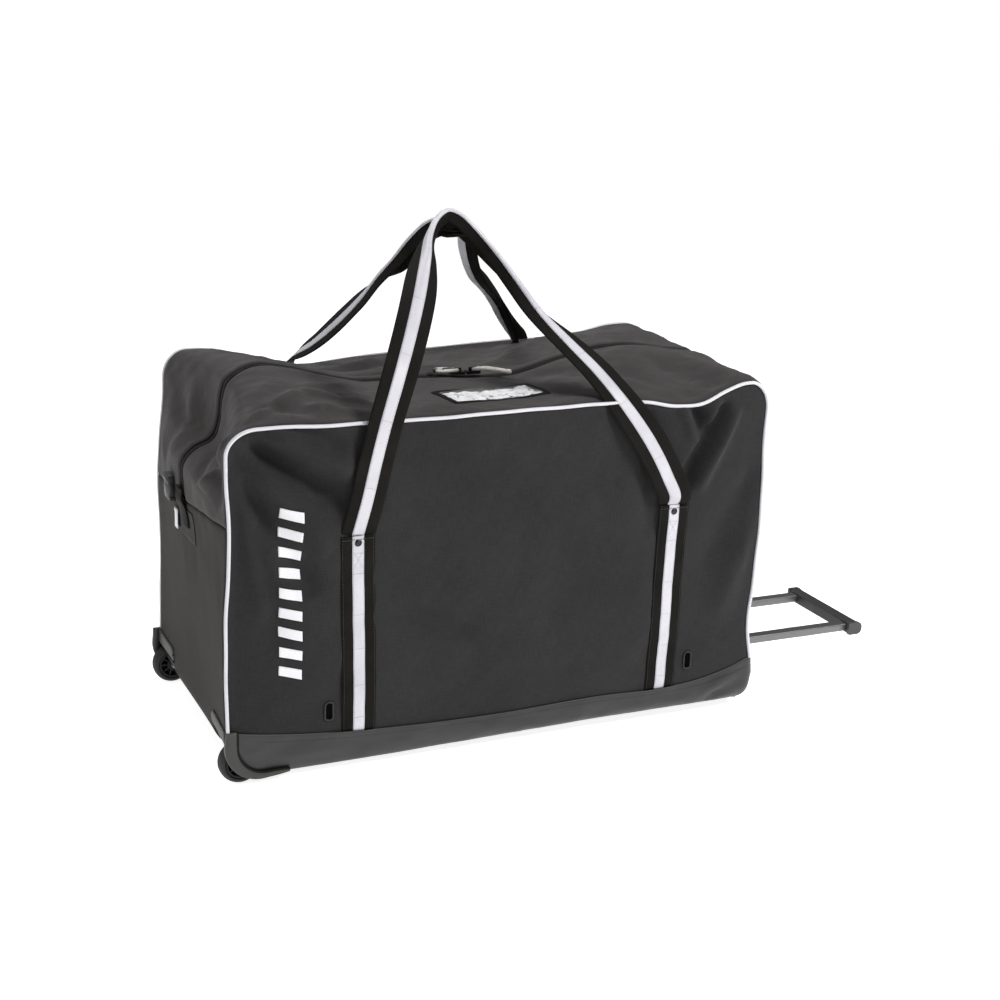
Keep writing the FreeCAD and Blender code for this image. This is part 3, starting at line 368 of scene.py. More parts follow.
class Paint:
    """A node material: the principled surface and short calls that feed it."""

    def __init__(self, name):
        self.material = bpy.data.materials.new(name)
        self.material.use_nodes = True
        self.tree = self.material.node_tree
        self.surface = self.tree.nodes["Principled BSDF"]
        self.coord = self.tree.nodes.new("ShaderNodeTexCoord")

    def node(self, kind, settings=None, **inputs):
        made = self.tree.nodes.new(kind)
        for key, value in (settings or {}).items():
            setattr(made, key, value)
        for key, value in inputs.items():
            self.feed(made.inputs[key.replace("_", " ")], value)
        return made

    def feed(self, socket, value):
        if isinstance(value, bpy.types.NodeSocket):
            self.tree.links.new(value, socket)
        elif isinstance(value, tuple) and len(value) == 3 and socket.type == "RGBA":
            socket.default_value = (*value, 1)
        else:
            socket.default_value = value

    def mapped(self, scale=(1, 1, 1), source="UV"):
        made = self.tree.nodes.new("ShaderNodeMapping")
        self.tree.links.new(self.coord.outputs[source], made.inputs["Vector"])
        made.inputs["Scale"].default_value = scale
        return made.outputs["Vector"]

    def noise(self, scale, detail=3.0, stretch=(1, 1, 1), source="Object"):
        return self.node("ShaderNodeTexNoise", Vector=self.mapped(stretch, source), Scale=scale,
                         Detail=detail).outputs["Fac"]

    def cells(self, scale, source="UV", settings=None):
        return self.node("ShaderNodeTexVoronoi", settings, Vector=self.mapped(source=source),
                         Scale=scale).outputs["Distance"]

    def wave(self, pitch_mm, direction):
        """Bands of a given pitch; Blender's band texture repeats every pi / 10 at scale 1."""
        return self.node("ShaderNodeTexWave", {"wave_type": "BANDS", "bands_direction": direction},
                         Vector=self.mapped(), Scale=0.31416 / (pitch_mm * MM)).outputs["Fac"]

    def ramp(self, value, low, high, to_low=0.0, to_high=1.0):
        return self.node("ShaderNodeMapRange", Value=value, From_Min=low, From_Max=high,
                         To_Min=to_low, To_Max=to_high).outputs["Result"]

    def math(self, operation, a, b):
        made = self.node("ShaderNodeMath", {"operation": operation})
        self.feed(made.inputs[0], a)
        self.feed(made.inputs[1], b)
        return made.outputs["Value"]

    def mix(self, factor, a, b):
        made = self.node("ShaderNodeMix", {"data_type": "RGBA"})
        self.feed(made.inputs["Factor"], factor)
        self.feed(made.inputs[6], a)
        self.feed(made.inputs[7], b)
        return made.outputs[2]

    def bump(self, height, distance_mm, strength=1.0, under=None):
        made = self.node("ShaderNodeBump", Height=height, Strength=strength,
                         Distance=distance_mm * MM)
        if under is not None:
            self.feed(made.inputs["Normal"], under)
        return made.outputs["Normal"]

    def set(self, **inputs):
        for key, value in inputs.items():
            self.feed(self.surface.inputs[key.replace("_", " ")], value)
        return self.material


def woven(name, dark, light, rough=0.82, sheen=0.05, pitch=1.1, slub=0.45, soft_bump=0.35,
          thread_bump=0.4):
    """Plain weave: crossing threads, a few thicker ones, and slow changes of shade."""
    p = Paint(name)
    warp, weft = p.wave(pitch, "X"), p.wave(pitch, "Y")
    weave = p.math("MULTIPLY", warp, weft)
    thick_warp = p.noise(1.0, 2, (900, 60, 1), "UV")
    thick_weft = p.noise(1.0, 2, (60, 900, 1), "UV")
    threads = p.math("ADD", thick_warp, thick_weft)
    patchy = p.noise(7.0, 4)
    shade = p.math("ADD", p.ramp(patchy, 0.3, 0.7, 0.0, 1 - slub), p.ramp(threads, 0.8, 1.2, 0.0, slub))
    colour = p.mix(shade, dark, light)
    colour = p.mix(p.ramp(weave, 0.0, 0.25, 0.35, 0.0), colour, tuple(c * 0.45 for c in dark))
    normal = p.bump(p.noise(45.0, 4), 0.9, soft_bump)
    normal = p.bump(threads, 0.5, thread_bump, normal)
    normal = p.bump(weave, 0.3, 0.6, normal)
    return p.set(Base_Color=colour, Roughness=p.ramp(patchy, 0.2, 0.8, rough - 0.06, rough + 0.06),
                 Normal=normal, Sheen_Weight=sheen, Sheen_Roughness=0.45,
                 Specular_IOR_Level=0.12)


def coated(name, dark, light, rough=0.42):
    """Vinyl-coated cloth: fine pebble, soft shine, faint scuffs."""
    p = Paint(name)
    pebble = p.cells(900.0, "Object")
    scuff = p.noise(14.0, 5, (1, 3, 3))
    colour = p.mix(p.ramp(scuff, 0.35, 0.75), dark, light)
    normal = p.bump(p.noise(30.0, 3), 1.0, 0.3)
    normal = p.bump(pebble, 0.2, 0.35, normal)
    return p.set(Base_Color=colour, Roughness=p.ramp(scuff, 0.2, 0.8, rough - 0.08, rough + 0.14),
                 Normal=normal, Specular_IOR_Level=0.4)


def webbing(name, dark, light, rib=1.9):
    """Ribbed tape: bars across the strap, thread lines along it, U runs along the strap."""
    p = Paint(name)
    ribs = p.wave(rib, "X")
    lines = p.wave(1.1, "Y")
    weave = p.math("ADD", ribs, p.math("MULTIPLY", lines, 0.5))
    patchy = p.noise(25.0, 4)
    colour = p.mix(p.ramp(patchy, 0.3, 0.7), dark, light)
    colour = p.mix(p.ramp(ribs, 0.0, 0.35, 0.5, 0.0), colour, tuple(c * 0.5 for c in dark))
    normal = p.bump(weave, 0.45, 0.6, p.bump(p.noise(60.0, 3), 0.7, 0.3))
    return p.set(Base_Color=colour, Roughness=0.75, Normal=normal, Specular_IOR_Level=0.12)


def reflective_tape(name, base, shadow):
    """White tape with a fine printed mesh of cells and slight soiling."""
    p = Paint(name)
    cells = p.cells(420.0, settings={"feature": "DISTANCE_TO_EDGE"})
    soiled = p.noise(18.0, 4)
    colour = p.mix(p.ramp(soiled, 0.45, 0.8, 0.0, 0.6), base, shadow)
    colour = p.mix(p.ramp(cells, 0.0, 0.12, 0.35, 0.0), colour, shadow)
    normal = p.bump(cells, 0.2, 0.3, p.bump(p.noise(40.0, 3), 0.7, 0.25))
    return p.set(Base_Color=colour, Roughness=p.ramp(soiled, 0.2, 0.8, 0.38, 0.55), Normal=normal,
                 Specular_IOR_Level=0.5)


def plain_plastic(name, dark, light, rough=0.5, grain=1400.0, depth=0.12, shine=0.4):
    """Moulded plastic with a spark-eroded grain and rubbed edges."""
    p = Paint(name)
    grainy = p.noise(grain, 2)
    worn = p.noise(30.0, 5)
    edge = p.node("ShaderNodeNewGeometry").outputs["Pointiness"]
    rubbed = p.ramp(edge, 0.52, 0.6, 0.0, 0.5)
    colour = p.mix(p.ramp(worn, 0.3, 0.75), dark, light)
    colour = p.mix(rubbed, colour, tuple(min(1, c * 2.2 + 0.01) for c in light))
    return p.set(Base_Color=colour, Normal=p.bump(grainy, depth, 0.6), Specular_IOR_Level=shine,
                 Roughness=p.ramp(worn, 0.2, 0.8, rough - 0.08, rough + 0.1))


def metal(name, colour, rough=0.35, brush=(1, 60, 60), metallic=1.0):
    """Drawn or brushed metal: fine streaks along the axis where brush is smallest."""
    p = Paint(name)
    streak = p.noise(25.0, 3, brush)
    shade = p.mix(p.ramp(streak, 0.3, 0.7, 0.0, 0.5), colour, tuple(c * 0.6 for c in colour))
    return p.set(Base_Color=shade, Metallic=metallic, Normal=p.bump(streak, 0.05, 0.4),
                 Roughness=p.ramp(streak, 0.2, 0.8, rough - 0.07, rough + 0.1))


def clear_film(name):
    """Clear vinyl: mostly see-through, with a glossy wavy skin."""
    p = Paint(name)
    wavy = p.noise(60.0, 3)
    return p.set(Base_Color=(0.9, 0.92, 0.95), Roughness=0.16, Specular_IOR_Level=0.8,
                 Alpha=p.ramp(wavy, 0.35, 0.75, 0.03, 0.14), Normal=p.bump(wavy, 2.0, 0.5))


def paper(name):
    p = Paint(name)
    crumple = p.cells(70.0, "Object")
    fibre = p.noise(500.0, 3)
    colour = p.mix(p.ramp(crumple, 0.3, 0.9, 0.0, 0.35), (0.88, 0.87, 0.88), (0.52, 0.51, 0.53))
    return p.set(Base_Color=colour, Roughness=0.75, Normal=p.bump(fibre, 0.1, 0.5,
                 p.bump(crumple, 3.0, 0.8)))


def braided(name, base, shadow):
    """Round braided cord or piping: slanted strands."""
    p = Paint(name)
    strands = p.wave(2.2, "DIAGONAL")
    grime = p.noise(30.0, 3)
    colour = p.mix(p.ramp(strands, 0.0, 0.5, 0.4, 0.0), base, shadow)
    colour = p.mix(p.ramp(grime, 0.5, 0.8, 0.0, 0.4), colour, shadow)
    return p.set(Base_Color=colour, Roughness=0.6, Normal=p.bump(strands, 0.3, 0.7),
                 Sheen_Weight=0.15)


def grey(value):
    return (value, value, value)


SHELL = woven("shell weave", (0.0208, 0.0200, 0.0202), (0.039, 0.0376, 0.0380))
# the top pieces' weave is the shell's cloth painted roughly 1.7 times lighter: painted light falling on
# the top
LIT_TOP_WEAVE = woven("top weave painted light", (0.036, 0.033, 0.0324), (0.063, 0.058, 0.057), sheen=0.12)
END = woven("end weave", (0.0158, 0.0134, 0.0118), (0.0234, 0.0201, 0.0179), rough=0.75, slub=0.3,
            soft_bump=0.08, thread_bump=0.12)
PATCH = woven("patch weave", (0.030, 0.029, 0.027), (0.045, 0.043, 0.040), pitch=1.6)
COATED = coated("coated band", grey(0.021), (0.038, 0.038, 0.0385))
BINDING = webbing("black binding", (0.008, 0.008, 0.007), (0.016, 0.016, 0.014), rib=1.2)
BLACK_WEB = webbing("black webbing", (0.0054, 0.0048, 0.0042), (0.0108, 0.0100, 0.0085))
ZIP_WEB = webbing("zipper tape", grey(0.011), (0.022, 0.021, 0.021), rib=0.9)
STRIPE = reflective_tape("white tape", (0.65, 0.64, 0.68), (0.44, 0.43, 0.47))
MARK = reflective_tape("white print", (0.82, 0.82, 0.84), (0.62, 0.62, 0.66))
PIPING = braided("white piping", (0.74, 0.73, 0.77), (0.46, 0.45, 0.49))
CORD = braided("pull cord", (0.80, 0.77, 0.73), (0.42, 0.39, 0.36))
BLACK_CORD = braided("black cord", grey(0.012), grey(0.004))
THREAD = braided("black thread", grey(0.016), grey(0.006))
GREY_THREAD = braided("grey thread", (0.42, 0.42, 0.45), (0.24, 0.24, 0.26))
TEETH = plain_plastic("zipper teeth", grey(0.008), grey(0.016), rough=0.35)
PLASTIC = plain_plastic("black plastic", grey(0.010), grey(0.022))
GUARD = plain_plastic("guard plastic", (0.022, 0.023, 0.020), (0.034, 0.035, 0.031))
FRAME_PLASTIC = plain_plastic("window frame", grey(0.004), grey(0.010), rough=0.7, shine=0.1)
HUB = plain_plastic("hub plastic", grey(0.007), grey(0.014), shine=0.25)
TYRE = plain_plastic("tyre rubber", grey(0.008), grey(0.018), rough=0.62, grain=500.0)
GRIP = plain_plastic("grip plastic", grey(0.011), grey(0.022))
CAP = plain_plastic("cap plastic", grey(0.016), grey(0.030), rough=0.36)
BUTTON = plain_plastic("button plastic", grey(0.020), grey(0.035), rough=0.3)
LINER = plain_plastic("liner board", (0.014, 0.014, 0.015), (0.026, 0.026, 0.027), rough=0.7)
DARK_METAL = metal("dark metal", (0.055, 0.055, 0.057), 0.36, (1, 1, 1))
STEEL = metal("steel", grey(0.50), 0.3, (1, 1, 1))
BUSH = metal("bush", (0.10, 0.095, 0.085), 0.45, (1, 1, 1))
TUBE = metal("tube", (0.19, 0.19, 0.193), 0.36, (1, 40, 40), 0.7)
TUBE_DARK = metal("outer tube", (0.04, 0.04, 0.042), 0.4, (1, 40, 40), 0.85)
# near-black matte sheet for the vent slots: painted shade of the openings
SLOT_SHADE = plain_plastic("painted slot shade", grey(0.002), grey(0.004), rough=0.9, shine=0.0)
CLEAR = clear_film("clear vinyl")
CARD = paper("card")

# paints of the nodes that stay visible as they are; all others are black plastic
NODE_PAINT = {
    "base_board": LINER, "floor_board": LINER, "zip_slider_left": DARK_METAL,
    "zip_slider_right": DARK_METAL, "wheel_housing_front": GUARD, "wheel_housing_rear": GUARD,
    "corner_rims": GUARD, "axle_front": STEEL, "axle_rear": STEEL, "wheel_bush_front": BUSH,
    "wheel_bush_rear": BUSH, "housing_rivets": DARK_METAL, "outer_tubes": TUBE_DARK,
    "bracket_screws": STEEL, "inner_tubes": TUBE, "grip": GRIP, "grip_caps": CAP,
    "push_button": BUTTON, "release_rods": STEEL, "lock_pins": STEEL}
for node_name, node_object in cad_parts.items():
    node_object.data.materials.clear()
    node_object.data.materials.append(NODE_PAINT.get(node_name, PLASTIC))


# ---------------------------------------------------------------- the shape of the soft body

def outline(s):
    """Nominal outline of the bag seen from the front: x, z and outward direction at run s."""
    s = np.asarray(s, float)
    turn_a = np.clip((s - SIDE_RUN) / CORNER, 0, math.pi / 2)
    turn_b = np.clip((s - S_DOWN) / CORNER, 0, math.pi / 2)
    under = np.clip((S_ROUND - s) / BASE_ROUND, 0, math.pi / 2)
    angle = math.pi - turn_a - turn_b + under
    nx, nz = np.cos(angle), np.sin(angle)
    centre_x = np.where(s < (S_TOP + S_DOWN) / 2, CORNER - HALF_LENGTH, HALF_LENGTH - CORNER)
    centre_x = centre_x + np.clip(s - S_TOP, 0, TOP_RUN) * (s < (S_TOP + S_DOWN) / 2)
    centre_x = centre_x + (np.clip(s - S_TOP, 0, TOP_RUN) - TOP_RUN) * (s >= (S_TOP + S_DOWN) / 2)
    centre_z = np.full_like(s, TOP_Z - CORNER)
    centre_z = centre_z - np.clip(SIDE_RUN - s, 0, None) - np.clip(s - S_SIDE, 0, None)
    x, z = centre_x + nx * CORNER, centre_z + nz * CORNER
    low = s < S_ROUND
    x = np.where(low, BASE_ROUND - HALF_LENGTH + nx * BASE_ROUND, x)
    z = np.where(low, FLOOR_Z + BASE_ROUND + nz * BASE_ROUND, z)
    return x, z, nx, nz


def run_at_top(x):
    return S_TOP + x + HALF_LENGTH - CORNER


def run_at_wheel_end(z):
    return z - SKIRT_Z


def run_at_handle_end(z):
    return S_SIDE + TOP_Z - CORNER - z


MID_A = SIDE_RUN + ARC_RUN / 2
MID_B = S_DOWN + ARC_RUN / 2


def seam_keys(wheel_end, over_wheel_end, top, over_handle_end, handle_end, first=0):
    """How far a seam line stands from the nominal outline: rows of run, along x, up.

    The rows come with a height on the two ends, a place along x on the top, and a run from the
    middle of the soft corner over the wheel end.
    """
    keys = [(-40, first, 0)]
    keys += [(run_at_wheel_end(z), along, up) for z, along, up in wheel_end]
    keys += [(MID_A + ahead, along, up) for ahead, along, up in over_wheel_end]
    keys += [(run_at_top(x), along, up) for x, along, up in top]
    keys += [(MID_B, *over_handle_end)]
    keys += [(run_at_handle_end(z), along, up) for z, along, up in handle_end]
    return keys + [(S_END + 40, 0, 0)]


FRONT_RAIL = seam_keys(
    [(72, -9, 0), (110, -11, 0), (150, -12, 0), (250, -12, 0), (330, -7, 0), (395, -8, 0),
     (450, -11, -2)],
    [(0, -9, -6)],
    [(-350, -1, -5), (-304, 0, -7), (-220, 0, -8), (-76, 0, -7), (30, 0, -5), (119, 0, -4),
     (201, 0, -7), (250, 0, -15), (292, 0, -14), (330, 0, 2), (362, -2, 11)],
    (-9, 10),
    [(455, -12, 2), (375, -9, 0), (300, -7, 0), (214, -10, 0), (130, -13, 0), (80, -3, 0)], first=-4)
MIDDLE_RAIL = seam_keys(
    [(100, 0, 0), (200, -3, 0), (330, -7, 0), (385, -15, 0), (415, -13, -2), (440, 4, -8),
     (460, 26, -18)],
    [(-12, 36, -22), (8, 26, -6)],
    [(-372, 8, 14), (-345, 2, 27), (-312, 0, 31), (-270, 0, 22), (-220, 0, 9), (-176, 0, 1),
     (-90, 0, 0), (92, 0, 0), (122, 0, 8), (173, 0, 20), (228, 0, 31), (290, 0, 32), (345, 0, 24)],
    (4, 14),
    [(440, 10, 4), (350, 9, 0), (250, 8, 0), (130, 3, 0)])
REAR_RAIL = seam_keys(
    [(90, 0, 0), (250, 2, 0), (330, 0, 0), (395, 3, 0), (450, 9, 6)],
    [(0, 10, 12)],
    [(-350, 3, 13), (-300, 0, 2), (-253, 0, -12), (-213, 0, -22), (-170, 0, -20), (-122, 0, -14),
     (-24, 0, -8), (67, 0, -2), (156, 0, 2), (235, 0, 4), (299, 0, 10), (345, 0, 19)],
    (0, 20),
    [(450, -3, 9), (380, -6, 2), (300, -10, 0), (214, -12, 0), (130, -9, 0), (80, -2, 0)])


def rail(keys, s):
    """Seam line in space: x and z at run s."""
    x, z, _, _ = outline(s)
    moved = smooth(keys, s)
    return x + moved[..., 0], z + moved[..., 1]


def wheel_seam_run(y):
    """Run of the seam between the wheel end panel and the top piece above it."""
    return run_at_wheel_end(356 - 0.088 * y)


def skirt_line(x):
    """Height of the top edge of the coated band along the two long sides."""
    keys = [(-430, 84), (-400, 78), (-340, 69), (-260, 61), (-175, 56), (-17, 53), (149, 57),
            (244, 55), (324, 61), (375, 73), (412, 86), (430, 88)]
    return smooth(keys, x)[..., 0]


# Folds as rows of start, end, width and height, each in the two directions of its surface.
# They fan out of the front corner at the wheel end: x, y.
CORNER_FOLDS = [
    (-392, -190, -296, -112, 9, 6.5), (-310, -160, -205, -190, 12, 4.5), (-300, -108, -196, -140, 10, 5),
    (-296, -100, -190, -60, 12, 4), (-380, -150, -290, -180, 14, -5), (-270, -128, -190, -108, 10, -3.5)]
# dents in the slumped wheel end over its seam: down from the top, y
SLUMPED_END_FOLDS = [
    (-30, -196, 70, -120, 10, 7), (40, -150, 100, -60, 12, 4), (-20, -120, 80, -185, 16, -6),
    (0, -60, 75, -95, 14, -5), (10, 60, 90, 150, 20, -5), (-40, 110, 70, 60, 22, 5)]
# shallow pulls across the top, and the longer ones near the handle end: x, y
TOP_FOLDS = [
    (-230, 60, -60, 120, 10, -4), (-200, 25, -20, 60, 8, -3), (-215, 85, -40, 150, 12, 3.5),
    (60, 60, 240, 150, 14, 3), (90, -30, 230, -150, 18, -3.5), (130, -60, 250, -195, 14, 3),
    (290, 150, 370, 60, 26, 1.2), (250, 120, 370, -10, 28, -2), (270, -60, 330, -200, 22, -5),
    (320, -40, 372, -190, 18, 3.5)]
# the handle end: down from the top, y
HANDLE_END_FOLDS = [(0, -150, 140, -60, 20, -4), (20, 150, 150, 40, 24, -4)]
# The front panel, x and z: below the wheel end corner, the forked fold under the handle end corner,
# and the long slack folds between.
FRONT_FOLDS = [
    (-412, 500, -256, 392, 17, -9.5), (-392, 515, -246, 440, 15, 6), (-412, 450, -300, 270, 17, -8),
    (-412, 482, -280, 330, 14, 6.5), (-350, 515, -262, 470, 14, -4), (-412, 410, -372, 240, 12, 4),
    (-396, 380, -352, 200, 14, -2.5),
    (340, 506, 256, 366, 10, -9.5), (356, 496, 286, 366, 10, 5.5), (274, 520, 300, 448, 10, -7.5),
    (250, 512, 288, 440, 10, 3.5), (318, 520, 306, 462, 9, 3.5),
    (402, 400, 306, 236, 26, -5), (410, 330, 330, 150, 22, 4), (-186, 244, -60, 182, 12, -2.5),
    (-190, 225, -70, 160, 12, 2), (-170, 330, 20, 250, 24, -2), (60, 200, 215, 120, 26, 2.2),
    (-40, 470, 170, 380, 30, -2), (200, 505, 216, 300, 13, -3.5)]
REAR_FOLDS = [
    (-405, 500, -250, 380, 18, -6), (-380, 515, -262, 440, 14, 5), (395, 505, 255, 350, 20, -7),
    (370, 515, 275, 430, 14, 4), (-190, 470, -30, 330, 22, -4), (190, 300, 20, 180, 26, -4),
    (-180, 200, 20, 130, 24, 3)]
# the coated band's folds at its two ends, x and z
BAND_FOLDS = [
    (320, 34, 404, 72, 5, 5), (332, 24, 410, 52, 5, -5), (345, 62, 398, 84, 4, 3),
    (-402, 48, -345, 72, 6, 3.5), (-398, 66, -330, 50, 7, -3)]


def gusset_folds(s, y):
    """Height of the folds on the top piece and the two ends, outward."""
    x = s - S_TOP + CORNER - HALF_LENGTH
    down_end = s - S_SIDE
    up_end = SIDE_RUN - s
    f = 1.5 * ripple(x, y * 1.3, 210, 3) * np.clip((s - 150) / 200, 0.12, 1)
    f = f * np.clip(1 - down_end / 300, 0.3, 1)
    f = f + 0.5 * ripple(x, y, 46, 5) * np.clip((s - 250) / 150, 0.06, 1)
    f = creases(f, x, y, CORNER_FOLDS)
    f = creases(f, up_end, y, SLUMPED_END_FOLDS)
    f = creases(f, x, y, TOP_FOLDS)
    belly = 5 * np.exp(-((down_end - 120) / 90) ** 2 - (y / 150) ** 2)
    f = creases(f + belly, down_end, y, HANDLE_END_FOLDS)
    keep = np.clip((GUSSET_Y - np.abs(y)) / 16, 0, 1)
    zip_calm = np.clip((np.abs(y) - 4) / 26, 0.15, 1)
    window_calm = 1 - 0.85 * np.exp(-(((x + 8) / 105) ** 4) - (((y + 116) / 60) ** 4))
    low_calm = np.clip((s + 20) / 110, 0, 1) * np.clip((S_END + 20 - s) / 110, 0.1, 1)
    return 1.5 * f * keep * zip_calm * window_calm * low_calm


def skin(s, y):
    """A point of the soft body above the base: run s along the outline, y across."""
    s, y = np.broadcast_arrays(np.asarray(s, float), np.asarray(y, float))
    x0, z0, nx, nz = outline(s)
    side = np.where((y < 0)[..., None], smooth(FRONT_RAIL, s), smooth(REAR_RAIL, s))
    middle = smooth(MIDDLE_RAIL, s)
    w = (np.clip(np.abs(y) / GUSSET_Y, 0, 1) ** 1.8)[..., None]
    moved = middle * (1 - w) + side * w
    f = gusset_folds(s, y)
    return np.stack([x0 + moved[..., 0] + nx * f, y, z0 + moved[..., 1] + nz * f], -1)


def skin_normal(s, y):
    e = 1.5
    ds = skin(s + e, y) - skin(s - e, y)
    dy = skin(s, y + e) - skin(s, y - e)
    return unit(np.cross(dy, -ds))


def on_skin(s, y, lift):
    return skin(s, y) + skin_normal(s, y) * lift


def panel_height(x, z, side):
    """How far a long side panel bellies out at a place on it; side is -1 in front, 1 behind."""
    u = np.clip(x / 414, -1, 1)
    v = np.clip((z - 285) / 228, -1, 1)
    crown = 7.0 * (1 - u ** 4) * (1 - v ** 4)
    strap = np.exp(-((np.abs(x) - STRAP_X) / 34) ** 2) * np.clip((360 - z) / 60, 0, 1)
    f = crown * (1 - 0.55 * strap)
    edge = np.clip((1 - np.abs(u)) * 9, 0, 1) * np.clip((z - 62) / 40, 0, 1)
    edge = edge * np.clip((512 - z) / 26, 0, 1)
    if side < 0:
        f = f + 1.7 * ripple(x, z, 230, 11) * edge
        f = f + 0.45 * ripple(x, z, 60, 12) * edge
        g = creases(0.0, x, z, FRONT_FOLDS)
        # the printed bars hold the cloth a little flatter
        print_calm = 1 - 0.6 * np.exp(-((x + 339) / 30) ** 4 - ((z - 372) / 55) ** 4)
        f = f + 2.3 * g * print_calm * np.clip(edge * 1.4, 0, 1)
        f = f - 6.0 * np.exp(-((x + 420) / 46) ** 2) * np.clip((z - 80) / 80, 0, 1)
    else:
        f = f + 2.4 * ripple(x, z, 240, 21) * edge
        f = f + 0.5 * ripple(x, z, 64, 22) * edge
        g = creases(0.0, x, z, REAR_FOLDS)
        f = f + 1.6 * g * np.clip(edge * 1.4, 0, 1)
    return f


def on_panel(x, z, side, lift=0.0):
    """A point on a long side panel, raised by lift."""
    x, z = np.broadcast_arrays(np.asarray(x, float), np.asarray(z, float))
    y = side * (HALF_WIDTH - 1.0 + panel_height(x, z, side) + lift)
    return np.stack([x, y, z], -1)


def panel_normal(x, z, side):
    e = 1.5
    dx = on_panel(x + e, z, side) - on_panel(x - e, z, side)
    dz = on_panel(x, z + e, side) - on_panel(x, z - e, side)
    return unit(np.cross(dz, dx) if side > 0 else np.cross(dx, dz))


# ---------------------------------------------------------------- soft shell

# distance between mesh points of the cloth
STEP = 4.5


def count_for(length):
    return max(4, int(round(length / STEP)) + 1)


def gusset_piece(name, run_start, run_end, y_start, y_end, material, **more):
    """Part of the top and end skin between two runs and two y, with its borders sewn down."""
    is_end = np.max(run_end(0.0)) - np.min(run_start(0.0)) < 500
    rows = count_for(900 if is_end else 2600) // 2
    y = np.linspace(y_start, y_end, count_for(abs(y_end - y_start)) + 6)
    r = np.linspace(0, 1, rows)
    straight = np.min(run_start(y))
    s = straight + r[:, None] * (run_end(y) - straight)[None, :]
    s = s + (run_start(y) - straight)[None, :] * ((1 - r) ** 4)[:, None]
    yy = np.broadcast_to(y[None, :], s.shape)
    to_edge = np.minimum(np.abs(s - run_start(y)[None, :]), np.abs(s - run_end(y)[None, :]))
    to_edge = np.minimum(to_edge, np.minimum(np.abs(yy - y_start), np.abs(yy - y_end)))
    dip = -2.0 * np.exp(-to_edge / 2.6) + 0.7 * np.exp(-((to_edge - 6.5) / 2.6) ** 2)
    points = skin(s, yy) + skin_normal(s, yy) * dip[..., None]
    uv = np.stack([s, yy], -1)
    return sheet(name, points, uv, material, **more)


def fixed_run(value):
    return lambda y: np.full_like(np.asarray(y, float), value)


def wheel_end_hem(y):
    """Lower edge of the wheel end cloth: under the base, and above the housings beside it."""
    over_housing = 1 / (1 + np.exp(-(np.abs(y) - 114.0) / 2.0))
    return (S_UNDER + 1) * (1 - over_housing) + run_at_wheel_end(70) * over_housing


HANDLE_SEAM = fixed_run(run_at_handle_end(gusset_low[2] - 18))
gusset_piece("wheel_end_cloth", wheel_end_hem, wheel_seam_run,
             -GUSSET_Y, GUSSET_Y, END, slot="end_fabric", stands_for=("wheel_end_panel",))
gusset_piece("handle_end_cloth", HANDLE_SEAM, fixed_run(run_at_handle_end(SKIRT_Z - 4)),
             -GUSSET_Y, GUSSET_Y, END, slot="end_fabric", stands_for=("handle_end_panel",))
# the two top pieces take the weave painted lighter: painted light on the top
gusset_piece("top_cloth_front", wheel_seam_run, HANDLE_SEAM, -GUSSET_Y, -TAPE_Y + 2, LIT_TOP_WEAVE,
             slot="top_fabric", stands_for=("top_panel_front",))
gusset_piece("top_cloth_rear", wheel_seam_run, HANDLE_SEAM, TAPE_Y - 2, GUSSET_Y, LIT_TOP_WEAVE,
             slot="top_fabric", stands_for=("top_panel_rear",))


def side_cloth(name, keys, side, node):
    """Long side panel: a patch between the seam line over it and the band under it."""
    cols, rows = count_for(2 * HALF_LENGTH), count_for(470)
    u, v = np.linspace(0, 1, cols), np.linspace(0, 1, rows)
    inset, panel_rise, sewn_edge = 1.6, 450, 14
    left = np.stack(rail(keys, v * MID_A), -1)
    top = np.stack(rail(keys, MID_A + u * (MID_B - MID_A)), -1)
    right = np.stack(rail(keys, S_END - v * (S_END - MID_B)), -1)
    left[:, 0] += inset * (1 - v)
    right[:, 0] -= inset * (1 - v)
    bottom_x = left[0, 0] + u * (right[0, 0] - left[0, 0])
    bottom = np.stack([bottom_x, skirt_line(bottom_x) - 6], -1)
    left[:, 1] += (bottom[0, 1] - left[0, 1]) * (1 - v) ** 6
    right[:, 1] += (bottom[-1, 1] - right[0, 1]) * (1 - v) ** 6
    uu, vv = np.meshgrid(u, v)
    p = ((1 - vv)[..., None] * bottom[None] + vv[..., None] * top[None]
         + (1 - uu)[..., None] * left[:, None] + uu[..., None] * right[:, None]
         - ((1 - uu) * (1 - vv))[..., None] * bottom[0] - (uu * (1 - vv))[..., None] * bottom[-1]
         - ((1 - uu) * vv)[..., None] * top[0] - (uu * vv)[..., None] * top[-1])
    x, z = p[..., 0], p[..., 1]
    rim = np.clip(np.minimum(uu, 1 - uu) * 2 * HALF_LENGTH / sewn_edge, 0, 1)
    rim = rim * np.clip((1 - vv) * panel_rise / sewn_edge, 0, 1)
    rim = rim * (2 - rim)
    near = np.minimum(np.minimum(uu, 1 - uu) * 2 * HALF_LENGTH, (1 - vv) * panel_rise)
    groove = 0.9 * np.exp(-((near - 7.5) / 2.5) ** 2)
    y = side * (HALF_WIDTH - 1.0 + panel_height(x, z, side) * rim + groove - 1.2 * (1 - rim))
    points = np.stack([x, y, z], -1)
    uv = np.stack([x, z], -1)
    return sheet(name, points, uv, SHELL, flip=side > 0, slot="shell_fabric", stands_for=(node,))


side_cloth("front_cloth", FRONT_RAIL, -1, "front_panel")
side_cloth("rear_cloth", REAR_RAIL, 1, "rear_panel")


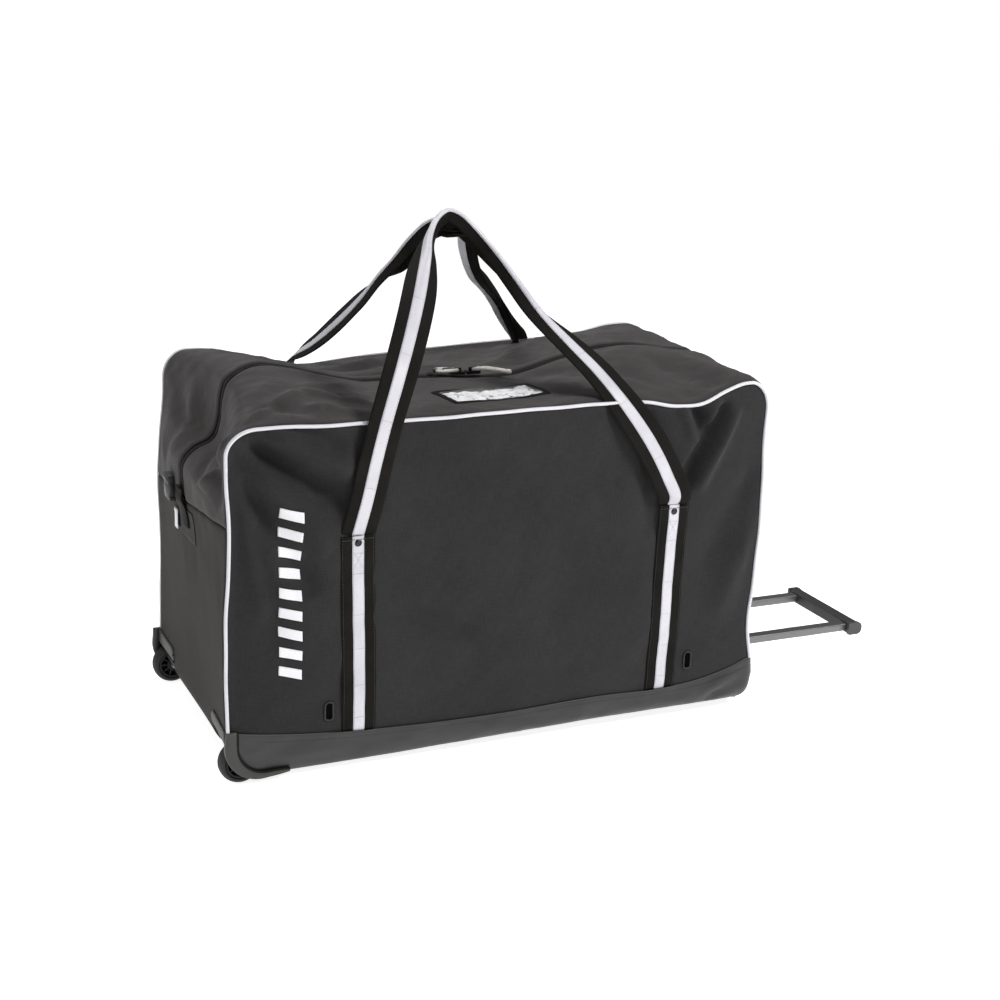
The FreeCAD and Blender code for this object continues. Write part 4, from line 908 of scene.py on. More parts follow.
def piping(name, keys, side, node):
    """Round piping sewn into the seam all the way over the bag."""
    s = np.linspace(run_at_wheel_end(SKIRT_Z + 17), run_at_handle_end(SKIRT_Z + 18), 420)
    x, z = rail(keys, s)
    _, _, nx, nz = outline(s)
    wobble = 0.35 * np.sin(s / 31.0) + 0.25 * np.sin(s / 13.7 + 1)
    sunk, radius = 1.0, 2.6
    centres = np.stack([x - nx * sunk + nx * wobble, np.full_like(x, side * (HALF_WIDTH + 0.2)),
                        z - nz * sunk + nz * wobble], -1)
    put(name, [tube(centres, radius, 12, up=(0, 1, 0))], PIPING, "piping", (node,))


piping("front_piping_cord", FRONT_RAIL, -1, "front_piping")
piping("rear_piping_cord", REAR_RAIL, 1, "rear_piping")


# ---------------------------------------------------------------- coated band round the base

def band():
    """The coated band: up the two long sides and the handle end, and under the bag."""
    corner = 16.0
    reach, width = HALF_LENGTH + 0.5, HALF_WIDTH + 1.2
    wheel_x = -HALF_LENGTH + 0.6
    straight = np.linspace(wheel_x, reach - corner, 150)
    turn = np.linspace(0, math.pi / 2, 9)[1:-1]
    across = np.linspace(-width + corner, width - corner, 60)
    plan = [(x, -width, 0.0, -1.0) for x in straight]
    round_x, round_y = reach - corner, width - corner
    plan += [(round_x + corner * math.sin(a), -width + corner - corner * math.cos(a),
              math.sin(a), -math.cos(a)) for a in turn]
    plan += [(reach, y, 1.0, 0.0) for y in across]
    plan += [(round_x + corner * math.cos(a), round_y + corner * math.sin(a),
              math.cos(a), math.sin(a)) for a in turn]
    plan += [(x, width, 0.0, 1.0) for x in straight[::-1]]
    plan = np.array(plan)
    px, py, nx, ny = plan.T
    top = skirt_line(px) * np.abs(ny) + (1 - np.abs(ny)) * 78
    run = np.concatenate([[0], np.cumsum(np.hypot(np.diff(px), np.diff(py)))])
    profile = [(1.0, -0.6), (0.965, 0.7), (0.93, 0.9), (0.8, 1.2), (0.64, 1.6), (0.48, 1.7),
               (0.36, 1.0), (0.25, -0.4), (0.16, -2.8), (0.09, -6.2), (0.035, -11.0), (0.0, -17),
               (0.0, -30), (0.0, -60), (0.0, -110), (0.0, -196)]
    soft_end = np.clip((px + 260) / 480, 0, 1)
    soft_end = 0.3 + 0.7 * eased(soft_end)
    rows = []
    bezel_low, bezel_high = span("handle_bezel")
    past = np.clip(BASE_ROUND - HALF_LENGTH - px, 0, BASE_ROUND - 0.5)
    hem = FLOOR_Z + BASE_ROUND - np.sqrt(BASE_ROUND ** 2 - past ** 2)
    for share, out in profile:
        z = hem + share * (top - hem)
        fold = np.zeros_like(px)
        if out > -20:
            body = math.sin(math.pi * min(1, share + 0.1))
            right = np.exp(-((px - 372) / 60) ** 2)
            left = np.exp(-((px + 372) / 50) ** 2)
            fold = body * (1.1 * ripple(run, z * 2.2, 120, 31) + 0.4 * ripple(run, z, 40, 32))
            fold = fold + (np.abs(ny) > 0.5) * creases(0.0, px, z, BAND_FOLDS) * body
            fold = fold + body * (2.2 * right + 1.2 * left)
            over_strap = np.exp(-((np.abs(px) - STRAP_X) / (STRAP_WIDTH * 0.6)) ** 8) * np.abs(ny)
            fold = fold + 1.8 * over_strap * np.clip((share - 0.7) * 5, 0, 1)
            fold = fold + min(out, 0) * (soft_end - 1)
            fold = fold + 2.6 * nx * np.clip((share - 0.5) * 4, 0, 1)
            z = z - 2.5 * (1 - soft_end) * (1 - share) ** 2
        reach_out = out + fold
        # held flat behind the handle's bezel
        beside = np.maximum(bezel_low[2] - z, 3 * (z - bezel_high[2]))
        beside = np.maximum(np.abs(py) - bezel_high[1], beside)
        held = eased(np.clip(1 - beside / 14, 0, 1) * (nx > 0.5))
        reach_out = reach_out + held * (np.minimum(reach_out, 0.2) - reach_out)
        dent = np.clip(-out - 20, 0, None) / 176
        rows.append(np.stack([px + nx * reach_out * (1 if out > -20 else 0.9),
                              py + ny * reach_out, z + 1.5 * dent], -1))
    points = np.array(rows)
    points[..., 0] = np.clip(points[..., 0], wheel_x, None)
    uv_run = np.broadcast_to(run[None, :], points.shape[:2])
    uv_up = np.array([p[0] * 60 + min(0, p[1]) for p in profile])[:, None] + 0 * uv_run
    sheet("base_band", points, np.stack([uv_run, uv_up], -1), COATED, thick=1.8, flip=True,
          slot="coated_fabric", stands_for=("base_skirt",))
    normals = np.stack([nx, ny, 0 * nx], -1)
    row = stitches(points[3][8:-8] + normals[8:-8] * 0.2, normals[8:-8], 4.2, 2.8)
    put("band_stitches", [row], THREAD, "black_webbing")


band()


def corner_guards():
    """Moulded guards round the lower corners beside the wheels, each with a black binding."""
    centre_x, centre_z = BASE_ROUND - HALF_LENGTH, FLOOR_Z + BASE_ROUND
    upright, tongue = 24.0, 34.0
    quarter = BASE_ROUND * math.pi / 2
    run = np.linspace(0, upright + quarter + tongue, 90)
    turn = np.clip((run - upright) / BASE_ROUND, 0, math.pi / 2)
    nx, nz = -np.cos(turn), -np.sin(turn)
    x = centre_x + BASE_ROUND * nx + np.clip(run - upright - quarter, 0, None)
    z = centre_z + BASE_ROUND * nz + np.clip(upright - run, 0, None)
    under = upright + quarter
    reach = smooth([(0, 11.5), (10, 12), (upright, 13), (upright + 18, 12.5), (upright + 36, 10.5),
                    (upright + 56, 7.5), (under, 5.0), (under + 20, 2.8), (under + tongue, 0.5)],
                   run)[:, 0]
    depth = smooth([(0, 3), (upright, 3.5), (under, 3.6), (under + 20, 4), (under + tongue, 3.5)],
                   run)[:, 0]
    guards, bindings = [], []
    inner, face, proud = HALF_WIDTH - 5.0, HALF_WIDTH + 0.9, HALF_WIDTH + 4.2
    back = np.minimum(0.4 + 0 * run, reach - 0.6)
    # the guard's section: how far it stands out from the bag's corner, and its y
    corners = [(reach, inner), (reach + 0.8, inner + 0.8), (reach + 0.8, proud - 2.2),
               (reach + 0.1, proud - 0.7), (reach - 1.4, proud), (-depth + 0.6, proud),
               (-depth, proud - 0.8), (-depth, face), (back, face), (back, inner)]
    for side in (-1, 1):
        ring = np.stack([np.stack([x + nx * level, np.full_like(x, side * y), z + nz * level], -1)
                         for level, y in corners], 1)
        points, faces, uv = wrapped(ring, run, np.arange(len(corners)) * 4.0)
        if side < 0:
            faces = [f[::-1] for f in faces]
        guards.append((points, faces, uv))
        line = np.stack([x - nx * (depth + 0.6), np.full_like(x, side * (proud - 0.9)),
                         z - nz * (depth + 0.6)], -1)
        bindings.append(tube(line, 1.7, 10, up=(0, 1, 0)))
    put("corner_guards", guards, GUARD, "black_plastic", ("corner_rims",))
    rivets = []
    wing_z, wing_start = 72.5, 118.0
    for side, label in ((-1, "front"), (1, "rear")):
        y = np.linspace(wing_start, inner + 1.5, 34)
        shoulder = np.sqrt(np.clip(1 - np.clip((127.0 - y) / 9.0, 0, 1) ** 2, 0.02, 1))
        v = np.linspace(-1, 1, 14)
        vv, yy = np.meshgrid(v, y, indexing="ij")
        zz = wing_z + (8.5 + 1.5 * (yy - wing_start) / 86) * vv * shoulder[None, :]
        s_wing = run_at_wheel_end(zz)
        lift = 2.6 - 1.6 * np.abs(vv) ** 8
        points = skin(s_wing, side * yy) + skin_normal(s_wing, side * yy) * lift[..., None]
        if side < 0:
            points = points[:, ::-1]
        sheet(f"guard_wing_{label}", points, np.stack([yy, zz], -1), GUARD, thick=2.2,
              slot="black_plastic")
        for y_rivet in (139.0, 167.0):
            spot = on_skin(run_at_wheel_end(np.array(wing_z)), np.array(side * y_rivet), 2.4)
            dome = [(0.01, -3.0), (2.2, -2.7), (3.8, -1.7), (4.5, -0.3), (4.5, 1.0), (0.01, 1.0)]
            rivets.append(turned(dome, spot, 24, 0))
    put("guard_rivet_heads", rivets, DARK_METAL, "dark_metal", ("housing_rivets",))
    put("corner_bindings", bindings, BINDING, "black_webbing")


corner_guards()


# ---------------------------------------------------------------- zipper

TOOTH = block((-0.8, -2.6, -0.9), (0.8, 2.6, 0.9), 0.5, 1)


def zipper():
    """Sunken tape, a coil of teeth staggered to both sides, and rows of stitches beside it."""
    s0 = float(wheel_seam_run(0.0)) + 6
    s1 = float(HANDLE_SEAM(0.0)) - 6
    s = np.linspace(s0, s1, count_for(s1 - s0))
    y = np.linspace(-TAPE_Y - 1, TAPE_Y + 1, 13)
    ss, yy = np.meshgrid(s, y, indexing="ij")
    sink = -2.6 + 1.2 * np.exp(-(yy / 4.5) ** 2)
    points = skin(ss, yy) + skin_normal(ss, yy) * sink[..., None]
    sheet("zipper_tape_cloth", points, np.stack([ss, yy], -1), ZIP_WEB, thick=0.8,
          slot="zipper_tape", stands_for=("zipper_tape",))
    pitch = 2.6
    parts = []
    for k, place_s in enumerate(np.arange(s0 + 4, s1 - 4, pitch)):
        sign = 1 if k % 2 else -1
        n = skin_normal(np.array(place_s), np.array(0.0))
        b = np.array([0.0, 1.0, 0.0])
        t = np.cross(b, n)
        origin = skin(place_s, 0.0) + n * -0.6 + b * sign * 0.9
        parts.append(place(TOOTH, origin, t, b, n))
    put("zipper_coil", parts, TEETH, "zipper_teeth", ("zipper_teeth",))
    rows = []
    near_row, far_row = TAPE_Y + 1.2, TAPE_Y + 6.5
    for y_row in (-near_row, -far_row, near_row, far_row):
        outward = skin_normal(s, np.full_like(s, y_row))
        rows.append(stitches(skin(s, y_row) + outward * 0.5, outward, 4.5, 3.0, 0.5, 0.3))
    put("zipper_stitches", rows, THREAD, "black_webbing")


zipper()


# ---------------------------------------------------------------- straps and loops

def ribbon(name, stripe_name, centres, face, stripe_wave, fold=None, body="bag", stands_for=(),
           stripe_for=()):
    """A strap with a narrower white tape sewn on it, along a line with a facing direction.

    fold is the angle by which each half is folded down about the middle. It gives back the
    function that places things on the strap, the run, the facing and the rows of stitches.
    """
    centres = np.asarray(centres, float)
    rows = len(centres)
    tangent = unit(np.gradient(centres, axis=0))
    face = unit(face - tangent * np.sum(face * tangent, -1, keepdims=True))
    wide = np.cross(tangent, face)
    fold = np.zeros(rows) if fold is None else np.asarray(fold, float)
    run = length_along(centres)
    crest, thick, tape_thick = 2.4, 2.0, 0.5

    def at(w, height):
        """Points at a distance w across the strap and height over its face."""
        w = np.broadcast_to(np.asarray(w, float), (rows,)) - 2.7 * fold
        bend = np.clip(np.abs(w) / (2 * crest), 0, 1)
        angle = fold * bend
        inner = np.minimum(np.abs(w), crest)
        outer = np.maximum(np.abs(w) - crest, 0)
        half = fold * 0.4 * (np.abs(w) > 1)
        sideways = inner * np.cos(half) + outer * np.cos(angle)
        down = inner * np.sin(half) + outer * np.sin(angle)
        crown = 0.25 * np.cos(np.clip(w / (STRAP_WIDTH / 2), -1, 1) * math.pi / 2)
        lean = angle * np.sign(w)
        n_local = face * np.cos(lean)[:, None] + wide * np.sin(lean)[:, None]
        return (centres + wide * (np.sign(w) * sideways)[:, None] - face * down[:, None]
                + n_local * (height + crown)[:, None])

    half_strap, half_tape = STRAP_WIDTH / 2, STRIPE_WIDTH / 2
    w = np.linspace(-half_strap, half_strap, 17)
    faces = [[at(x, side * thick * (0.5 if abs(x) < half_strap - 1 else 0.2)) for x in w]
             for side in (1, -1)]
    put(name, [strip(*faces, run, w)], BLACK_WEB, "black_webbing", stands_for, body)
    w = np.linspace(-half_tape, half_tape, 9)
    puff = stripe_wave * np.sin(run / 11.0) ** 2
    faces = [[at(x, thick / 2 + tape_thick * (1 if abs(x) < half_tape - 0.5 else 0.5)
                 + puff * math.cos(x / half_tape * math.pi / 2)) for x in w],
             [at(x, thick / 2 - 0.2) for x in w]]
    put(stripe_name, [strip(*faces, run, w)], STRIPE, "white_webbing", stripe_for, body)
    rows_of_thread = []
    for edge_w in (-half_tape + 1.2, half_tape - 1.2):
        line = at(edge_w, thick / 2 + tape_thick)
        rows_of_thread.append(stitches(line, face, 4.0, 2.6, 0.4, 0.35))
    return at, run, face, rows_of_thread


def bar_across(at, k, half, height, count):
    """Points across a strap at its k-th place."""
    return np.stack([at(w, height)[k] for w in np.linspace(-half, half, count)])


def anchors():
    """The four straps sewn up the long sides, each with its white tape, rivet and stitching."""
    thread_rows, dark_rows, rivets = [], [], []
    for side, label in ((-1, "front"), (1, "rear")):
        for sign, end in ((-1, "left"), (1, "right")):
            first = side < 0 and sign < 0
            lean = 9.0 if first else 4.5
            share = np.linspace(0, 1, 60)
            foot_x = sign * STRAP_X + (lean if sign < 0 else 5 if side < 0 else 0)
            head_x = sign * STRAP_X + (1 if sign < 0 else lean + 1)
            x = foot_x + (head_x - foot_x) * share
            low = float(skirt_line(np.array(foot_x))) - 4
            z = low + share * (LOOP_FOOT + 2 - low)
            tucked = np.clip((z - low) / 18, 0, 1)
            sew = on_panel(x, z, side, -1.4 + 3.0 * tucked ** 0.6 + 0.25 * np.sin(z / 17.0))
            face = np.broadcast_to(np.array([0, side, 0.0]), sew.shape) + 0 * sew
            at, _, _, rows = ribbon(
                f"anchor_strap_{label}_{end}", f"anchor_tape_{label}_{end}", sew, face, 0.35,
                stands_for=("anchor_webbing",) if first else (),
                stripe_for=("anchor_stripes",) if first else ())
            thread_rows += rows
            for edge_w in (-STRAP_WIDTH / 2 + 2.5, STRAP_WIDTH / 2 - 2.5):
                dark_rows.append(stitches(at(edge_w, 1.2), face, 4.2, 2.8, 0.4, 0.3))
            tape_at = at(0.0, 1.6)
            for bar in list(np.arange(low + 24, RIVET_Z - 60, 52)) + [RIVET_Z - 14, RIVET_Z - 44]:
                bar_line = bar_across(at, nearest(tape_at[:, 2], bar), 7.6, 1.75, 8)
                thread_rows.append(stitches(bar_line, face[:8], 3.0, 2.2, 0.4, 0.3))
            lower = nearest(tape_at[:, 2], RIVET_Z - 34)
            upper = nearest(tape_at[:, 2], RIVET_Z - 15)
            for a, b in ((-6.5, 6.5), (6.5, -6.5)):
                steps = np.linspace(0, 1, 10)
                line = np.stack([at(a + (b - a) * t, 1.8)[int(round(lower + (upper - lower) * t))]
                                 for t in steps])
                thread_rows.append(stitches(line, face[:10], 3.0, 2.3, 0.4, 0.3))
            bar_line = bar_across(at, nearest(tape_at[:, 2], RIVET_Z + 7), 23, 1.9, 16)
            dark_rows.append(stitches(bar_line, face[:16], 3.2, 2.6, 0.6, 0.5))
            centre = tape_at[nearest(tape_at[:, 2], RIVET_Z)]
            dome = [(0.01, 2.3), (2.0, 2.1), (3.8, 1.5), (5.0, 0.5), (5.5, -0.2), (5.5, -1.2),
                    (0.01, -1.2)]
            head = turned([(r, side * h) for r, h in dome], centre, 28, 1)
            ring = turned([(3.3 + 0.5 * math.cos(t), side * (1.9 + 0.5 * math.sin(t)))
                           for t in np.linspace(0, 2 * math.pi, 8, endpoint=False)], centre, 28, 1)
            rivets += [head, ring]
    put("strap_stitches_grey", thread_rows, GREY_THREAD, "white_webbing")
    put("strap_stitches_dark", dark_rows, THREAD, "white_webbing")
    put("strap_rivet_heads", rivets, DARK_METAL, "dark_metal", ("strap_rivets",))


anchors()

# The loops: shares of strap x, stand-off and rise; fold; the way the outer face looks.
FRONT_LOOP = [
    (-.996, 1.005, 0, 0, 0, -1, 0), (-.955, 1.03, .115, 0, 0, -1, 0), (-.905, 1.045, .27, 0, 0, -1, 0),
    (-.85, 1.035, .40, 0, 0, -1, .05), (-.768, .965, .52, 0, 0, -.93, .3),
    (-.64, .79, .66, 0, -.05, -.85, .5), (-.50, .56, .80, .2, -.05, -.8, .6),
    (-.385, .34, .91, .8, 0, -.6, .75), (-.31, .17, .98, 1.25, 0, -.4, .85),
    (-.235, .085, 1.03, 1.45, 0, -.2, .95), (-.165, .05, 1.05, 1.5, 0, 0, 1),
    (-.09, .05, 1.035, 1.5, .05, 0, 1), (.01, .085, .98, 1.5, .15, -.1, .95),
    (.12, .175, .895, 1.4, .25, -.25, .9), (.225, .315, .79, 1.1, .3, -.45, .8),
    (.315, .47, .69, .5, .3, -.6, .7), (.42, .64, .60, .15, .25, -.75, .6),
    (.545, .84, .50, 0, .15, -.85, .45), (.665, 1.02, .385, 0, .05, -.95, .2),
    (.82, 1.075, .245, 0, -.12, -1, 0), (.935, 1.08, .12, 0, -.2, -1, 0),
    (1.01, 1.05, .03, 0, -.25, -1, 0),
    (1.012, 1.005, .0, 0, 0, -1, 0)]
REAR_LOOP = [
    (-1, 1.005, 0, 0, 0, 1, 0), (-.96, 1.03, .125, 0, -.1, 1, 0), (-.90, 1.04, .27, 0, -.35, .9, .1),
    (-.82, 1.03, .39, 0, -.7, .5, .35), (-.72, .90, .46, 0, -.8, .2, .45),
    (-.62, .70, .56, 0, -.85, 0, .5), (-.53, .48, .68, .15, -.75, -.1, .75),
    (-.47, .36, .77, .6, -.4, .05, .85), (-.40, .25, .85, 1.1, -.15, .15, .95),
    (-.32, .15, .94, 1.4, -.05, .2, 1), (-.24, .07, 1.0, 1.5, 0, .2, 1),
    (-.15, .03, 1.015, 1.5, 0, .2, 1), (-.08, .03, .985, 1.4, -.4, .2, .85),
    (-.03, .10, .90, 1.25, -1, .3, .1), (.03, .18, .83, 1.2, -1, .35, 0),
    (.12, .28, .76, 1.1, -1, .15, .05), (.22, .36, .71, .9, -.95, 0, .1),
    (.32, .45, .65, .95, -.9, -.1, .15), (.42, .56, .58, 1.0, -.9, -.1, .2),
    (.52, .68, .52, 1.0, -.9, 0, .2), (.60, .78, .48, .9, -.85, .25, .2),
    (.70, .92, .43, .5, -.6, .8, .2), (.78, 1.02, .36, 0, -.2, 1, .1),
    (.89, 1.03, .23, 0, 0, 1, 0), (.98, 1.02, .09, 0, 0, 1, 0), (1, 1.005, .0, 0, 0, 1, 0)]


def loop(keys, side, label):
    """One carry loop: a strap from rivet to rivet, pinched and folded where the hand holds it."""
    body = f"{label}_loop"
    rows = np.array(keys)
    run_of_keys = length_along(rows[:, :3] * np.array([STRAP_X, STAND_OFF, LOOP_RISE]))
    got = smooth(np.column_stack([run_of_keys, rows]), np.linspace(0, run_of_keys[-1], 240))
    centres = np.stack([got[:, 0] * STRAP_X, side * got[:, 1] * STAND_OFF,
                        LOOP_FOOT + 1 + got[:, 2] * LOOP_RISE], -1)
    for _ in range(3):
        centres[1:-1] = (centres[:-2] + 2 * centres[1:-1] + centres[2:]) / 4
    at, run, face, rows_of_thread = ribbon(
        f"{body}_strap", f"{body}_tape", centres, got[:, 4:7], 0.2, np.clip(got[:, 3], 0, 1.5), body,
        (f"{body}_webbing",), (f"{body}_stripe",))
    for place_run in np.arange(70, run[-1] - 30, 96):
        k = nearest(run, place_run)
        bar_line = bar_across(at, k, 7.6, 1.75, 8)
        facing = np.broadcast_to(face[k], (8, 3))
        rows_of_thread.append(stitches(bar_line, facing, 3.0, 2.2, 0.35, 0.25))
    put(f"{body}_stitches", rows_of_thread, GREY_THREAD, "white_webbing", body=body)


loop(FRONT_LOOP, -1, "front")
loop(REAR_LOOP, 1, "rear")


# ---------------------------------------------------------------- window, vents and side mark

def window():
    """Identity window on the front half of the top: raised frame, creased card, clear cover."""
    centre = (window_low + window_high)[:2] / 2 + np.array([-1.0, -6.0])
    turn = math.radians(8.0)
    ax = np.array([math.cos(turn), math.sin(turn)])
    ay = np.array([-math.sin(turn), math.cos(turn)])
    long_half, wide_half = (window_high - window_low)[:2] / 2 - np.array([1.0, 3.0])

    def at(a, b, lift):
        x = centre[0] + a * ax[0] + b * ay[0]
        y = centre[1] + a * ax[1] + b * ay[1]
        return on_skin(run_at_top(x), y, np.asarray(lift, float)[..., None] + 0 * x[..., None])

    border = 9.5
    ring = []
    for frac, lift in ((0.0, -0.8), (0.0, 1.6), (0.08, 2.3), (0.4, 2.6), (0.75, 2.4), (0.97, 1.8),
                       (1.0, 0.6), (1.0, -0.8)):
        inset = border * frac
        hl, hw, r = long_half - inset, wide_half - inset, max(1.5, 5.0 - inset)
        loop_points = []
        for cx, cy, start in ((hl - r, hw - r, 0), (-hl + r, hw - r, 90), (-hl + r, -hw + r, 180),
                              (hl - r, -hw + r, 270)):
            for angle in np.radians(np.linspace(start, start + 90, 6)):
                loop_points.append((cx + r * math.cos(angle), cy + r * math.sin(angle)))
            goal = {0: (-hl + r, hw), 90: (-hl, -hw + r), 180: (hl - r, -hw), 270: (hl, hw - r)}[start]
            last = loop_points[-1]
            for t in np.linspace(0, 1, 14)[1:-1]:
                loop_points.append(tuple(a + (b - a) * t for a, b in zip(last, goal)))
        loop_points = np.array(loop_points)
        sag = -0.8 * np.cos(loop_points[:, 0] / long_half * math.pi * 1.2)
        ring.append(at(loop_points[:, 0], loop_points[:, 1], lift + sag))
    ring = np.array(ring)
    flat = ring.reshape(-1, 3)
    faces = ring_faces(*ring.shape[:2])
    piece("window_frame", flat, faces, FRAME_PLASTIC, flat[:, :2], slot="frame_plastic",
          stands_for=("id_frame",))

    a = np.linspace(-long_half + 5, long_half - 5, 90)
    b = np.linspace(-wide_half + 5, wide_half - 5, 46)
    aa, bb = np.meshgrid(a, b, indexing="ij")
    inside = np.clip((wide_half - 7 - np.abs(bb)) / 5, 0, 1)
    inside = inside * np.clip((long_half - 7 - np.abs(aa)) / 5, 0, 1)

    def layer(name, points, material, thick, slot, stands_for=()):
        sheet(name, points[:, ::-1], np.stack([aa, bb], -1)[:, ::-1], material, thick, slot=slot,
              stands_for=stands_for)

    layer("window_backing", at(aa, bb, 0.1 + 0 * aa), FRAME_PLASTIC, 0.4, "frame_plastic")
    wrinkle = np.abs(ripple(aa, bb, 60, 41)) * 2.4 + np.abs(ripple(aa + bb, bb, 26, 42)) * 1.3
    ragged = 0.86 - 0.26 * np.abs(ripple(aa, 0 * bb, 62, 43, 4))
    card_b = np.where(bb > 0, bb * ragged, bb * 0.88)
    points = at(aa * 0.95, card_b, 0.9 + wrinkle * (0.35 + 0.65 * inside))
    layer("window_card", points, CARD, 0.35, "card", ("id_card",))
    wave = 1.0 + 0.8 * ripple(aa, bb, 70, 44)
    points = at(aa, bb, 2.0 + inside * (1.8 + wave))
    layer("window_cover", points, CLEAR, 0.4, "clear_vinyl", ("id_clear",))
    rim = []
    for sa, sb, ea, eb in ((-1, -1, 1, -1), (1, -1, 1, 1), (1, 1, -1, 1), (-1, 1, -1, -1)):
        t = np.linspace(0, 1, 30)
        la = (sa + (ea - sa) * t) * (long_half - 3)
        lb = (sb + (eb - sb) * t) * (wide_half - 3)
        line = at(la, lb, 2.5 + 0 * t)
        rim.append(stitches(line, np.tile([0, 0, 1.0], (30, 1))))
    put("window_stitches", rim, THREAD, "frame_plastic")


window()


def vents():
    """Oval slots with a raised rim, two on each long side; inside each rim a flat near-black sheet is
    painted shade of the opening.
    """
    low, high = span("vent_rims")
    z_mid = (low[2] + high[2]) / 2
    x_mid = high[0] - 5.5
    rims, slot_shade_fills = [], []
    for side in (-1, 1):
        for sign in (-1, 1):
            x0 = sign * x_mid + (7 if sign > 0 else 9)
            centre = on_panel(np.array(x0), np.array(z_mid), side, 0.6)
            n = panel_normal(np.array(x0), np.array(z_mid), side)
            n = n * np.sign(n[1] * side)
            path = []
            for angle in np.linspace(0, 2 * math.pi, 40, endpoint=False):
                sine = math.sin(angle)
                up = sine * 5.0 + np.sign(sine) * 8.6 * (abs(sine) > 0.05)
                path.append((math.cos(angle) * 6.0, up))
            path = np.array(path)
            line = np.stack([centre[0] + path[:, 0], centre[1] + 0 * path[:, 0] + n[1] * 0.6,
                             centre[2] + path[:, 1]], -1)
            rims.append(tube(line, 1.4, 10, closed=True, up=(0, 1, 0)))
            # a flat near-black plate inside the rim: painted shade of the slot's opening
            plate = [line + n * 0.1, line - (line - centre) * 0.25 + n * 0.1]
            middle = np.mean(line, 0) + n * 0.1
            points = np.concatenate([plate[0], plate[1], middle[None]])
            cols = len(path)
            faces = grid_faces(2, cols, wrap=True)
            faces += [(cols + j, cols + (j + 1) % cols, 2 * cols) for j in range(cols)]
            if side > 0:
                faces = [f[::-1] for f in faces]
            slot_shade_fills.append((points, faces, points[:, ::2]))
    put("vent_rings", rims, PLASTIC, "black_plastic", ("vent_rims",))
    put("vent_slots", slot_shade_fills, SLOT_SHADE, "black_plastic")


vents()


def side_mark():
    """A plain ladder of slanted bars printed near the wheel end: a neutral decoration."""
    parts = []
    x_left, x_right, slant = -355.0, -323.0, 9.0
    bars, lowest, pitch, height = 9, 154.0, 28.5, 14.0
    v, u = np.meshgrid(np.linspace(0, 1, 12), np.linspace(0, 1, 16), indexing="ij")
    for k in range(bars):
        x = x_left + (x_right - x_left) * u
        z = lowest + k * pitch + height * v - slant * (u - 0.5)
        outward = panel_normal(x, z, -1)
        points, faces = slab(on_panel(x, z, -1) + 1.7 * outward, on_panel(x, z, -1) - 1.2 * outward)
        uv = np.stack([x, z], -1).reshape(-1, 2)
        parts.append((points, faces, np.concatenate([uv, uv])))
    put("side_bars", parts, MARK, "white_webbing")


side_mark()


# ---------------------------------------------------------------- sliders' cord pulls

def cord_pull(body, node, sign, length, bulge, bend):
    """A loop of cord through the slider's eye, lying out along the zipper, with a sleeve."""
    eye_x, eye_z, cord_radius = 12.5, 522.8, 2.7
    eye = np.array([sign * eye_x, 0.0, eye_z])
    tip = sign * length
    t = np.linspace(0, 2 * math.pi, 60, endpoint=False)
    reach = (1 - np.cos(t)) / 2
    width = bulge * np.sin(t) * (0.35 + 0.65 * reach)
    x = eye[0] + tip * reach
    y = width + bend * reach ** 2
    z = eye[2] + 0.8 * np.sin(reach * math.pi) - 0.4 * reach
    centres = np.stack([x, y, z], -1)
    put(f"{body}_cord", [tube(centres, cord_radius, 12, closed=True)], CORD, "cord", (node,), body)
    mid = np.array([eye[0] + tip * 0.42, bend * 0.18, eye[2] + 0.7])
    sleeve = block((-8, -6.4, -2.9), (8, 6.4, 2.9), 2.4, 4)
    knot = block((-4.5, -5.2, -3.0), (4.5, 5.2, 3.0), 2.6, 4)
    axis = unit(np.array([tip, bend * 0.6, 0.0]))
    end = np.array([eye[0] + tip * 0.97, bend * 0.95, eye[2]])
    across = np.array([-axis[1], axis[0], 0])
    parts = [place(shape, spot, axis, across, (0, 0, 1)) for shape, spot in ((sleeve, mid), (knot, end))]
    put(f"{body}_sleeve", parts, BLACK_CORD if sign < 0 else CORD, "cord", body=body)


cord_pull("pull_left", "zip_pull_left", -1, 34.0, 11.0, 5.0)
cord_pull("pull_right", "zip_pull_right", 1, 48.0, 8.0, -30.0)


# ---------------------------------------------------------------- wheel end fittings

def end_outline(corners, count, lift, pitch, length):
    """Rows of stitches from corner to corner on the wheel end, each corner a y and a z."""
    rows = []
    for (y0, z0), (y1, z1) in zip(corners, corners[1:]):
        t = np.linspace(0, 1, count)
        y, s = y0 + (y1 - y0) * t, run_at_wheel_end(z0 + (z1 - z0) * t)
        rows.append(stitches(on_skin(s, y, lift), skin_normal(s, y), pitch, length))
    return rows


